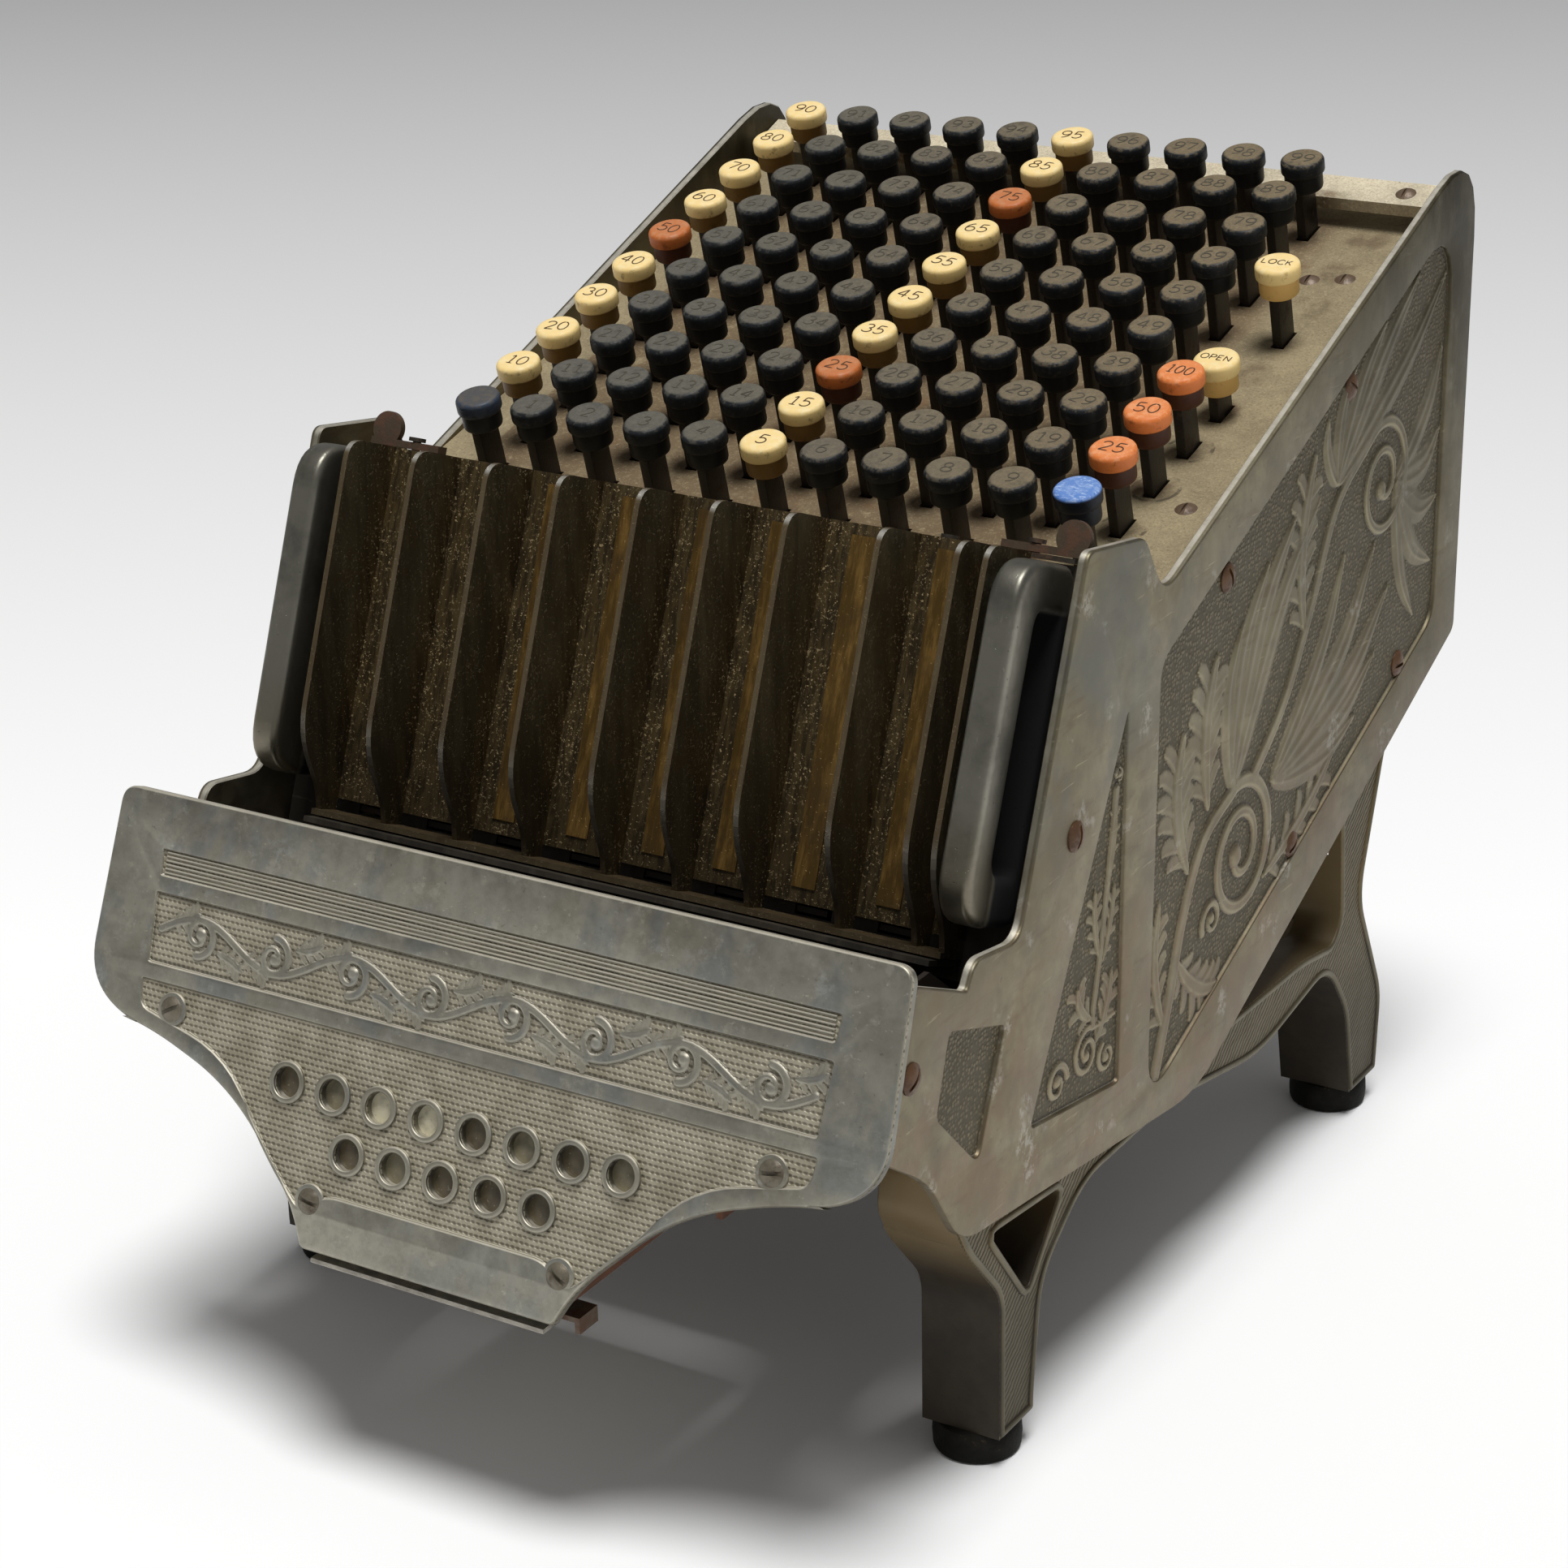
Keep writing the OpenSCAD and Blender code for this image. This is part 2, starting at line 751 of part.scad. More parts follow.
module cross_rods() {
  color("dimgray") case() for (i = [0:len(rod_at) - 1]) {
    difference() {
      translate([-rod_half[i], rod_at[i][0], rod_at[i][1]]) rotate([0, 90, 0]) {
        cylinder(h = 2 * rod_half[i], r = rod_r);
      }
      both_sides() translate([rod_half[i] - rod_tap_deep, rod_at[i][0], rod_at[i][1]]) {
        rotate([0, 90, 0]) cylinder(h = rod_tap_deep + cut, r = screw_hole_r);
      }
    }
  }
}

module plate_face(depth, y0) {
  translate([0, y0 + depth, plate_top]) rotate([90, 0, 0]) linear_extrude(depth) children();
}
module port_points(count, z) {
  for (i = [0:count - 1]) {
    translate([(i - (count - 1) / 2) * port_pitch, z]) children();
  }
}
module front_plate() {
  rib_pitch = (band_top - band_bottom) / band_ribs;
  ear_at = front_ear_centre();
  color("lightsteelblue") difference() {
    union() {
      on_front() difference() {
        plate_face(plate_t, plate_set) polygon(plate_outline);
        plate_face(plate_field_depth + cut, plate_set - cut) difference() {
          union() {
            polygon(name_field);
            polygon(port_field);
          }
          port_points(upper_ports, upper_port_z) circle(r = ring_r);
          port_points(lower_ports, lower_port_z) circle(r = ring_r);
          for (p = plate_screw_at) {
            translate(p) circle(r = seat_r);
          }
        }
        plate_face(plate_field_depth + cut, plate_set - cut) difference() {
          polygon(band_field);
          for (i = [0:band_ribs - 1]) {
            translate([-103, band_bottom + (i + 0.25) * rib_pitch]) square([206, rib_pitch / 2]);
          }
        }
        plate_face(plate_t + 2 * cut, plate_set - cut) {
          port_points(upper_ports, upper_port_z) circle(r = port_r);
          port_points(lower_ports, lower_port_z) circle(r = port_r);
          for (p = plate_screw_at) {
            translate(p) circle(r = screw_hole_r);
          }
        }
      }
      on_front() both_sides() translate([half_in - ear_gap - ear_w, plate_back, ear_at - ear_h / 2]) {
        cube([ear_w, ear_d, ear_h]);
      }
    }
    case() panel_screw_holes(-half_w - cut, half_w + cut, screw_hole_r);
  }
}
// Height in the front frame of the first panel screw, where the plate's ear takes it
function front_ear_centre() =
  (panel_screw_at[0][0] - front_y) * sin(front_lean) + (panel_screw_at[0][1] - front_z) * cos(front_lean);
module porthole_panes() {
  color("lightyellow") on_front() {
    translate([-pane_half(upper_ports), plate_back, plate_top + upper_port_z - pane_h / 2]) {
      cube([2 * pane_half(upper_ports), pane_t, pane_h]);
    }
    translate([-pane_half(lower_ports), plate_back, plate_top + lower_port_z - pane_h / 2]) {
      cube([2 * pane_half(lower_ports), pane_t, pane_h]);
    }
  }
}
function pane_half(count) = (count - 1) / 2 * port_pitch + pane_margin;

module hopper_profile(inset) {
  right = [for (p = hopper_outline) [p[0] - inset, p[1]]];
  left = [for (i = [len(right) - 1:-1:0]) [-right[i][0], right[i][1]]];
  lift = inset > 0 ? cut : 0;
  polygon(concat(
    [[right[0][0], cup_z - lift]],
    right,
    [[right[len(right) - 1][0], hopper_top_z + lift], [-right[len(right) - 1][0], hopper_top_z + lift]],
    left,
    [[-right[0][0], cup_z - lift]]
  ));
}
module coin_hopper() {
  back_top_y = front_pt(tray_back, bed_low - 6)[0];
  color("saddlebrown") case() {
    intersection() {
      rotate([90, 0, 0]) translate([0, 0, -through / 2]) linear_extrude(through) difference() {
        hopper_profile(0);
        hopper_shrunk();
      }
      across(-hopper_half - cut, hopper_half + cut) polygon(hopper_side(0));
    }
    intersection() {
      rotate([90, 0, 0]) translate([0, 0, -through / 2]) linear_extrude(through) hopper_profile(0);
      across(-hopper_half - cut, hopper_half + cut) polygon([
        [cup_back_y, cup_z],
        [cup_back_y + hopper_t, cup_z],
        [back_top_y + hopper_t, hopper_back_z],
        [back_top_y, hopper_back_z]
      ]);
    }
    both_sides() difference() {
      translate([gate_half + 0.4, gate_pin_y - 5, gate_pin_z - 5]) cube([lug_t, 10, cup_z - gate_pin_z + 5]);
      translate([gate_half - cut, gate_pin_y, gate_pin_z]) rotate([0, 90, 0]) {
        cylinder(h = lug_t + 3 * cut, r = gate_pin_r + pin_gap);
      }
    }
  }
}
// The inside of the hopper's cross-section, one sheet thickness in from the outside
module hopper_shrunk() {
  right = [
    for (i = [0:len(hopper_outline) - 1])
      let (p = hopper_outline[i])
      i < 2 ? [p[0] - hopper_t, p[1]] :
      i < 6 ? [p[0] - hopper_t / 2, p[1] + hopper_t] :
      [p[0] - hopper_t, p[1] + hopper_t / 2]
  ];
  left = [for (i = [len(right) - 1:-1:0]) [-right[i][0], right[i][1]]];
  polygon(concat(
    [[right[0][0], cup_z - cut]],
    right,
    [[right[8][0], hopper_top_z + cut], [-right[8][0], hopper_top_z + cut]],
    left,
    [[-right[0][0], cup_z - cut]]
  ));
}
function hopper_side(inset) = [
  [lean_y(hopper_front, cup_z), cup_z],
  [lean_y(hopper_front, hopper_top_z), hopper_top_z],
  [front_pt(shelf_front, bed_low - 3)[0] - 8, hopper_top_z],
  [front_pt(tray_back, bed_low - 6)[0] + hopper_t, hopper_back_z],
  [cup_back_y + hopper_t, cup_z]
];
module gate_pin() {
  pin_half = gate_half + 0.4 + lug_t + 0.8;
  color("dimgray") case() translate([-pin_half, gate_pin_y, gate_pin_z]) rotate([0, 90, 0]) {
    cylinder(h = 2 * pin_half, r = gate_pin_r);
  }
}
module outlet_gate() {
  gate_run = gate_pin_y - gate_front_y;
  color("darkgray") case() difference() {
    union() {
      translate([-gate_half, gate_front_y, gate_top - gate_t]) cube([2 * gate_half, gate_run, gate_t]);
      translate([-gate_half, gate_front_y, gate_top - gate_t - gate_lip]) {
        cube([2 * gate_half, gate_t, gate_t + gate_lip]);
      }
      translate([-gate_half, gate_pin_y, gate_pin_z]) rotate([0, 90, 0]) {
        cylinder(h = 2 * gate_half, r = gate_knuckle_r);
      }
    }
    translate([-gate_half - cut, gate_pin_y, gate_pin_z]) rotate([0, 90, 0]) {
      cylinder(h = 2 * gate_half + 2 * cut, r = gate_pin_r + pin_gap);
    }
  }
}
module gate_tab() {
  tab_low = gate_top - gate_t - tab_drop;
  color("sienna") case() translate([gate_half - tab_grip, gate_front_y + gate_t + tab_inset, 0]) {
    translate([0, 0, gate_top - gate_t - tab_t]) cube([tab_grip + tab_reach, tab_w, tab_t]);
    translate([tab_grip + tab_reach - tab_t, 0, tab_low]) cube([tab_t, tab_w, tab_drop]);
  }
}

module coin_tray() {
  back_low = ledge_top + slot_h;
  color("saddlebrown") on_front() translate([tray_x0, channel_depth, back_low]) {
    cube([tray_x1 + rib_t - tray_x0, tray_back_t, -back_low]);
  }
}
module tray_ribs() {
  color("peru") on_front() for (i = [0:ribs]) {
    translate([rib_x(i), 0, 0]) across(0, rib_t) polygon(rib_outline);
  }
}
module tray_ledge() {
  color("saddlebrown") on_front() translate([tray_x0, ledge_front, -tray_h]) {
    cube([tray_x1 + rib_t - tray_x0, channel_depth - ledge_front, ledge_t]);
  }
}
function eject_x(i) = (rib_x(i) + rib_t + rib_x(i + 1)) / 2;
module wear_strips() {
  color("darkgoldenrod") on_front() for (i = [strip_first:ribs - 1]) {
    inner = channel_w[i] - rib_t;
    width = min(strip_w, inner - 1);
    translate([rib_x(i) + rib_t + (inner - width) * 0.4, channel_depth - strip_t, -tray_h + 9]) {
      cube([width, strip_t, tray_h - 12]);
    }
  }
}
module tray_handle(x0) {
  on_front() {
    difference() {
      hull() {
        across(x0 + handle_round, x0 + handle_w - handle_round) polygon(handle_outline);
        across(x0, x0 + handle_w) translate([0, 0]) polygon(handle_inner());
      }
      across(x0 - cut, x0 + handle_w + cut) polygon(handle_hole);
    }
  }
}
function handle_inner() = rounded([
  [handle_front + handle_round, handle_top - handle_round, 10],
  [handle_back - handle_round, handle_top - handle_round, 4],
  [handle_back - handle_round, handle_low + handle_round, 4],
  [handle_front + handle_round, handle_low + handle_round, 11]
]);
module handle_studs(x0, x1) {
  on_front() for (z = [handle_top - 9, handle_low + 9]) {
    translate([x0, channel_depth - 1, z]) rotate([0, 90, 0]) cylinder(h = x1 - x0, r = stud_r);
  }
}
module tray_handle_right() {
  color("silver") {
    tray_handle(handle_x0);
    handle_studs(tray_x1 + rib_t, handle_x0);
  }
}
module tray_handle_left() {
  color("silver") {
    tray_handle(tray_x0 - handle_gap - handle_w);
    handle_studs(tray_x0 - handle_gap, tray_x0);
  }
}

module tray_bed() {
  bed_half = half_in - 1;
  color("dimgray") on_front() difference() {
    union() {
      translate([-bed_half, bed_y, bed_low]) cube([2 * bed_half, bed_t, bed_top - bed_low]);
      translate([-shelf_half, shelf_front, -tray_h - run_gap - shelf_t]) {
        cube([2 * shelf_half, bed_y - shelf_front, shelf_t]);
      }
      both_sides() across(cheek_x, cheek_x + cheek_t) polygon([
        [bed_y, bed_low],
        [bed_y, shaft_z + 14],
        [shaft_y + 8, shaft_z + 10],
        [shaft_y + 8, shaft_z - 12],
        [bed_y + 14, bed_low]
      ]);
    }
    for (i = [0:7]) {
      translate([eject_x(i) - slot_half, bed_y - cut, eject_z - slot_h / 2]) {
        cube([2 * slot_half, bed_t + 2 * cut, slot_h]);
      }
    }
    translate([-half_w, shaft_y, shaft_z]) rotate([0, 90, 0]) cylinder(h = body_w, r = shaft_r + pin_gap);
    rod_hole_in_front_frame();
  }
}
module rod_hole_in_front_frame() {
  dy = rod_at[0][0] - front_y;
  dz = rod_at[0][1] - front_z;
  depth = dy * cos(front_lean) - dz * sin(front_lean);
  rise = dy * sin(front_lean) + dz * cos(front_lean);
  translate([-half_w, depth, rise]) {
    rotate([0, 90, 0]) cylinder(h = body_w, r = rod_r + 0.2);
  }
}
module coin_ejector(i) {
  color("darkgray") on_front() translate([eject_x(i) - eject_half, eject_tip, eject_z - eject_t / 2]) {
    cube([2 * eject_half, eject_tail - eject_tip, eject_t]);
    translate([0, eject_tail - eject_tip - eject_t, 0]) cube([2 * eject_half, eject_t, eject_lug]);
  }
}
module payout_shaft() {
  shaft_half = cheek_x + cheek_t - 0.2;
  color("dimgray") on_front() {
    translate([-shaft_half, shaft_y, shaft_z]) rotate([0, 90, 0]) cylinder(h = 2 * shaft_half, r = shaft_r);
    for (i = [0:7]) {
      translate([eject_x(i) - finger_half, shaft_y - finger_t / 2, shaft_z - finger_len]) {
        cube([2 * finger_half, finger_t, finger_len]);
      }
    }
  }
}

module tray_latch() {
  slot_x0 = latch_pin_x - latch_travel - latch_slot_end;
  on_front() {
    difference() {
      translate([latch_x0, latch_y - latch_w / 2, latch_z]) cube([strip_end - latch_x0, latch_w, latch_t]);
      translate([slot_x0, latch_y - latch_pin_r - pin_gap, latch_z - cut]) {
        cube([latch_travel + 2 * latch_slot_end, 2 * (latch_pin_r + pin_gap), latch_t + 2 * cut]);
      }
    }
    difference() {
      translate([tab_x, latch_y + tab_thick / 2, latch_z + tab_r]) rotate([90, 0, 0]) {
        cylinder(h = tab_thick, r = tab_r);
      }
      translate([tab_x - tab_r - cut, latch_y - tab_r, latch_z - 2 * tab_r]) {
        cube([2 * tab_r + 2 * cut, 2 * tab_r, 2 * tab_r]);
      }
    }
  }
}
module tray_latch_right() {
  color("sienna") tray_latch();
}
module tray_latch_left() {
  color("sienna") mirror([1, 0, 0]) tray_latch();
}
module strip_rivets() {
  head_z = latch_z + latch_t + rivet_gap;
  color("gray") on_front() {
    both_sides() translate([latch_pin_x, latch_y, 0]) {
      cylinder(h = head_z, r = latch_pin_r);
      translate([0, 0, head_z]) cylinder(h = rivet_h, r = rivet_r);
    }
    translate([brace_pin_x, latch_y, 0]) cylinder(h = rivet_h, r = rivet_r);
  }
}
module latch_strips() {
  color("dimgray") on_front() for (x = [[strip_long, strip_end], [-strip_end, -strip_short]]) {
    translate([x[0], tray_back, -strip_rail_t]) cube([x[1] - x[0], strip_rail_w, strip_rail_t]);
  }
}

module slotted_head(r, h) {
  difference() {
    intersection() {
      translate([0, 0, h - 1.6 * r]) sphere(r = 1.6 * r);
      cylinder(h = h, r = r);
    }
    translate([-slot_w / 2, -r - cut, h - slot_deep]) cube([slot_w, 2 * r + 2 * cut, slot_deep + cut]);
  }
}
module panel_screws() {
  color("saddlebrown") case() both_sides() for (i = [0:len(panel_screw_at) - 1]) {
    seat = i < edge_screws ? half_w : half_w - field_depth;
    turn = 40 + 35 * i;
    translate([seat, panel_screw_at[i][0], panel_screw_at[i][1]]) rotate([turn, 0, 0]) rotate([0, 90, 0]) {
      slotted_head(head_r, head_h);
      translate([0, 0, -screw_len]) cylinder(h = screw_len, r = screw_r);
    }
  }
}
module plate_screws() {
  color("saddlebrown") on_front() for (i = [0:3]) {
    turn = 60 + 20 * i;
    translate([plate_screw_at[i][0], plate_set, plate_top + plate_screw_at[i][1]]) rotate([90, turn, 0]) {
      slotted_head(plate_head_r, plate_head_h);
      translate([0, 0, -plate_t - pane_t]) cylinder(h = plate_t + pane_t, r = screw_r);
    }
  }
}
module deck_screws() {
  color("saddlebrown") {
    on_deck() for (p = deck_screw_at) {
      translate([p[0], p[1], 0]) {
        slotted_head(deck_head_r, deck_head_h);
        translate([0, 0, -4]) cylinder(h = 4, r = screw_r);
      }
    }
    case() translate([0, bar_y, bar_z]) rotate([edge_angle, 0, 0]) both_sides() {
      translate([bar_screw_x, rear_bar_w / 2, 0]) {
        slotted_head(deck_head_r, deck_head_h);
        translate([0, 0, -rear_bar_t - 1]) cylinder(h = rear_bar_t + 1, r = screw_r);
      }
    }
  }
}

side_panel_left();
side_panel_right();
leg_frame_left();
leg_frame_right();
rubber_feet();
key_deck();
deck_rear_bar();
stem_guide();
lock_bar();
rear_cover();
bottom_cover();
cross_rods();
front_plate();
porthole_panes();
coin_hopper();
gate_pin();
outlet_gate();
gate_tab();
tray_bed();
coin_tray();
tray_ribs();
tray_ledge();
wear_strips();
tray_handle_left();
tray_handle_right();
latch_strips();
strip_rivets();
tray_latch_left();
tray_latch_right();
payout_shaft();
coin_ejector(0);  // coin_ejector_1
coin_ejector(1);  // coin_ejector_2
coin_ejector(2);  // coin_ejector_3
coin_ejector(3);  // coin_ejector_4
coin_ejector(4);  // coin_ejector_5
coin_ejector(5);  // coin_ejector_6
coin_ejector(6);  // coin_ejector_7
coin_ejector(7);  // coin_ejector_8
panel_screws();
plate_screws();
deck_screws();
key_column(0);  // key_column_0
key_column(1);  // key_column_1
key_column(2);  // key_column_2
key_column(3);  // key_column_3
key_column(4);  // key_column_4
key_column(5);  // key_column_5
key_column(6);  // key_column_6
key_column(7);  // key_column_7
key_column(8);  // key_column_8
key_column(9);  // key_column_9
key_at(column_x(10), row_u(0), key_top, "cornflowerblue");  // key_blue
key_at(column_x(10), row_u(1), key_top, "orangered");  // key_quarter
key_at(column_x(10), row_u(2), key_top, "orangered");  // key_half
key_at(column_x(10), row_u(3), key_top, "orangered");  // key_dollar
key_at(word_x, open_u, open_top, "khaki");  // key_open
key_at(word_x, lock_u, key_top, "khaki");  // key_lock
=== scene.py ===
"""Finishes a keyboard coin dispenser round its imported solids: cast sides with
ornament, legs, front plate, coin tray, keys with their figures, and the stage."""

import math

import bmesh
import bpy
import numpy as np
from bpy.props import FloatProperty, FloatVectorProperty, PointerProperty
from mathutils import Matrix, Vector
from mathutils.geometry import tessellate_polygon


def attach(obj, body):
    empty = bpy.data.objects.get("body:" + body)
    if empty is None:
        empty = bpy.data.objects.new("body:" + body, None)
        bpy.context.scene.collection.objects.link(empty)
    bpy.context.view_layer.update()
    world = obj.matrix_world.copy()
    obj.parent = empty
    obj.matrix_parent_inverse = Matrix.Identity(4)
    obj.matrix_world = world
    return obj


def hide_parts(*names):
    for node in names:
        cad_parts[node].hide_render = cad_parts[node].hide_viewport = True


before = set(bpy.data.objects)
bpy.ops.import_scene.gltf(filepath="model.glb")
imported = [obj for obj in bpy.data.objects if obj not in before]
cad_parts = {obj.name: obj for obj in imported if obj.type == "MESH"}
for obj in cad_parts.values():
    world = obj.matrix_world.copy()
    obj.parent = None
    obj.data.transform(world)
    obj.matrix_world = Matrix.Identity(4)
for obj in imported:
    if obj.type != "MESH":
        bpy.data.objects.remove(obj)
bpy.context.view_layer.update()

bl_info = {
    "name": "Coin dispenser finish",
    "version": (1, 0, 0),
    "blender": (4, 5, 0),
    "location": "3D View > Sidebar > Dispenser",
    "description": "Castings, keys, tray and finishes of a keyboard coin dispenser",
    "category": "Object",
}

# Places and sizes of the solids, in millimetres, as the part's source has them
MM = 0.001
HALF_W, PANEL_T = 121.0, 3.0
HALF_IN = HALF_W - PANEL_T
BASE_H, REAR_Y = 62.4, 212.0
DECK_H, DECK_ANGLE = 217.5, math.radians(15.3)
EDGE_SLOPE = math.tan(math.radians(20.9))
LEAN = math.radians(21.2)
FRONT_Y, FRONT_Z = -52.5, DECK_H + 26.1
PLATE_SET, PLATE_T, PLATE_TOP, PLATE_H, PLATE_HALF = -43.0, 3.5, -101.0, 107.0, 121.0
PLATE_BACK = PLATE_SET + PLATE_T
FIELD_DEPTH, PLATE_FIELD = 1.2, 0.8
SCREW_HOLE_R = 1.8
PITCH_X, PITCH_Y, ROW_0, COLUMN_0 = 19.05, 20.94, 6.8, -94.0
SINGLE_X = COLUMN_0 + 10 * PITCH_X
WORD_X = SINGLE_X + 0.5
KEY_TOP, OPEN_TOP, STEM_FOOT = 25.0, 17.8, -45.0
STEM_T, STEM_W = 3.0, 9.0
HANDLE_W, GRIP_T, HANDLE_X = 9.0, 12.0, 103.4
FOOT_X, FOOT_Y = 106.5, (-71.3, 160.5)

# The photograph's camera in metres: its place, and its axes to the right, upwards and backwards
CAMERA_AT, CAMERA_LENS = (0.49076, -0.80087, 0.50968), 80.89
CAMERA_AXES = ((0.85278, 0.52191, -0.01913), (-0.17829, 0.32535, 0.92863), (0.49089, -0.78851, 0.37051))


def lean_point(d, h):
    """Case y and z of a point of the leaning front, d into the case and h up the slope."""
    return np.array([
        FRONT_Y + d * math.cos(LEAN) + h * math.sin(LEAN),
        FRONT_Z - d * math.sin(LEAN) + h * math.cos(LEAN),
    ])


MID_Y = (lean_point(PLATE_SET, PLATE_TOP - PLATE_H)[0] + REAR_Y) / 2


def deck_z(y):
    """Height of the deck at that place along the case."""
    return DECK_H + y * math.tan(DECK_ANGLE)


def edge_z(y):
    """Height of the side panels' sloping upper edge."""
    return DECK_H + 0.2 + (y - 2) * EDGE_SLOPE


def lean_y(d, z):
    """Place along the case, at height z, of the plane d behind the leaning front."""
    return FRONT_Y + d / math.cos(LEAN) - (FRONT_Z - z) * math.tan(LEAN)


def case_at(x, y, z):
    """Case coordinates in millimetres to the frame's metres."""
    x, y, z = np.broadcast_arrays(x, y, z)
    return np.stack([x, y - MID_Y, z], -1) * MM


def front_at(x, d, h):
    """Front coordinates, across, into the case and up the slope, to the frame's metres."""
    return case_at(x, *lean_point(d, h))


def deck_at(x, u, h):
    """Deck coordinates, across, up the slope and off the deck, to the frame's metres."""
    y = u * math.cos(DECK_ANGLE) - h * math.sin(DECK_ANGLE)
    z = DECK_H + u * math.sin(DECK_ANGLE) + h * math.cos(DECK_ANGLE)
    return case_at(x, y, z)


def side_at(sign):
    """Placement of a flat outline on one side of the case: y, z and distance from the middle."""
    return lambda p, w: case_at(sign * w, p[..., 0], p[..., 1])


def plate_at(p, w):
    """Placement of a flat outline on the front plate: x, height below its top, depth."""
    return front_at(p[..., 0], w, PLATE_TOP + p[..., 1])


def plate_spot(centre, depth):
    """Placement of a turned form on the front plate, its axis square to the plate."""
    return lambda a, b, h: plate_at(np.stack([centre[0] + a, centre[1] + b], -1), depth + h)


# Outlines


def rounded(corners, steps=7):
    """A closed outline: each corner (a, b, cut) is a parabola between the points that lie
    cut before and after it, (1-t)^2 p + 2t(1-t) v + t^2 q; a cut of 0 stays sharp."""
    v = np.array([c[:2] for c in corners], float)
    made = []
    for i, c in enumerate(corners):
        a, b = v[i - 1] - v[i], v[(i + 1) % len(v)] - v[i]
        p = v[i] + c[2] * a / np.linalg.norm(a)
        q = v[i] + c[2] * b / np.linalg.norm(b)
        t = np.linspace(0, 1, steps)[:, None] if c[2] else np.zeros((1, 1))
        made.append((1 - t) ** 2 * p + 2 * t * (1 - t) * v[i] + t * t * q)
    return turned_left(np.concatenate(made))


def turned_left(loop):
    """The loop with its inside on the left."""
    nxt = np.roll(loop, -1, 0)
    area = (loop[:, 0] * nxt[:, 1] - loop[:, 1] * nxt[:, 0]).sum()
    return loop if area > 0 else loop[::-1]


def circle(centre, r, sides=28):
    """Points round a circle, to the left."""
    t = np.linspace(0, 2 * math.pi, sides, endpoint=False)
    return np.stack([centre[0] + r * np.cos(t), centre[1] + r * np.sin(t)], -1)


def inset(loop, r):
    """Each point moved r to the inside along the mean normal of its two edges."""
    e = np.roll(loop, -1, 0) - loop
    e /= np.maximum(np.linalg.norm(e, axis=1, keepdims=True), 1e-9)
    n = np.stack([-e[:, 1], e[:, 0]], -1)
    m = n + np.roll(n, 1, 0)
    return loop + r * m / np.maximum(1 + (n * np.roll(n, 1, 0)).sum(1, keepdims=True), 0.4)


def resampled(loop, spacing, closed=True):
    """Points at even steps of arc length along a line."""
    pts = np.concatenate([loop, loop[:1]]) if closed else loop
    run = np.concatenate([[0], np.cumsum(np.linalg.norm(np.diff(pts, axis=0), axis=1))])
    count = max(4, int(round(run[-1] / spacing)) + 1)
    s = np.linspace(0, run[-1], count)
    out = np.stack([np.interp(s, run, pts[:, k]) for k in range(pts.shape[1])], -1)
    return out[:-1] if closed else out


def smooth_line(points, count):
    """A Catmull-Rom line through the points."""
    p = np.array(points, float)
    p = np.concatenate([[2 * p[0] - p[1]], p, [2 * p[-1] - p[-2]]])
    u = np.linspace(0, len(p) - 3 - 1e-6, count)
    i = u.astype(int)
    t = (u - i)[:, None]
    a, b, c, d = p[i], p[i + 1], p[i + 2], p[i + 3]
    squared, cubed = 2 * a - 5 * b + 4 * c - d, 3 * b - a - 3 * c + d
    return 0.5 * (2 * b + (c - a) * t + squared * t**2 + cubed * t**3)


# Meshes

SHARP = 38  # degrees between two faces from which their edge is sharp


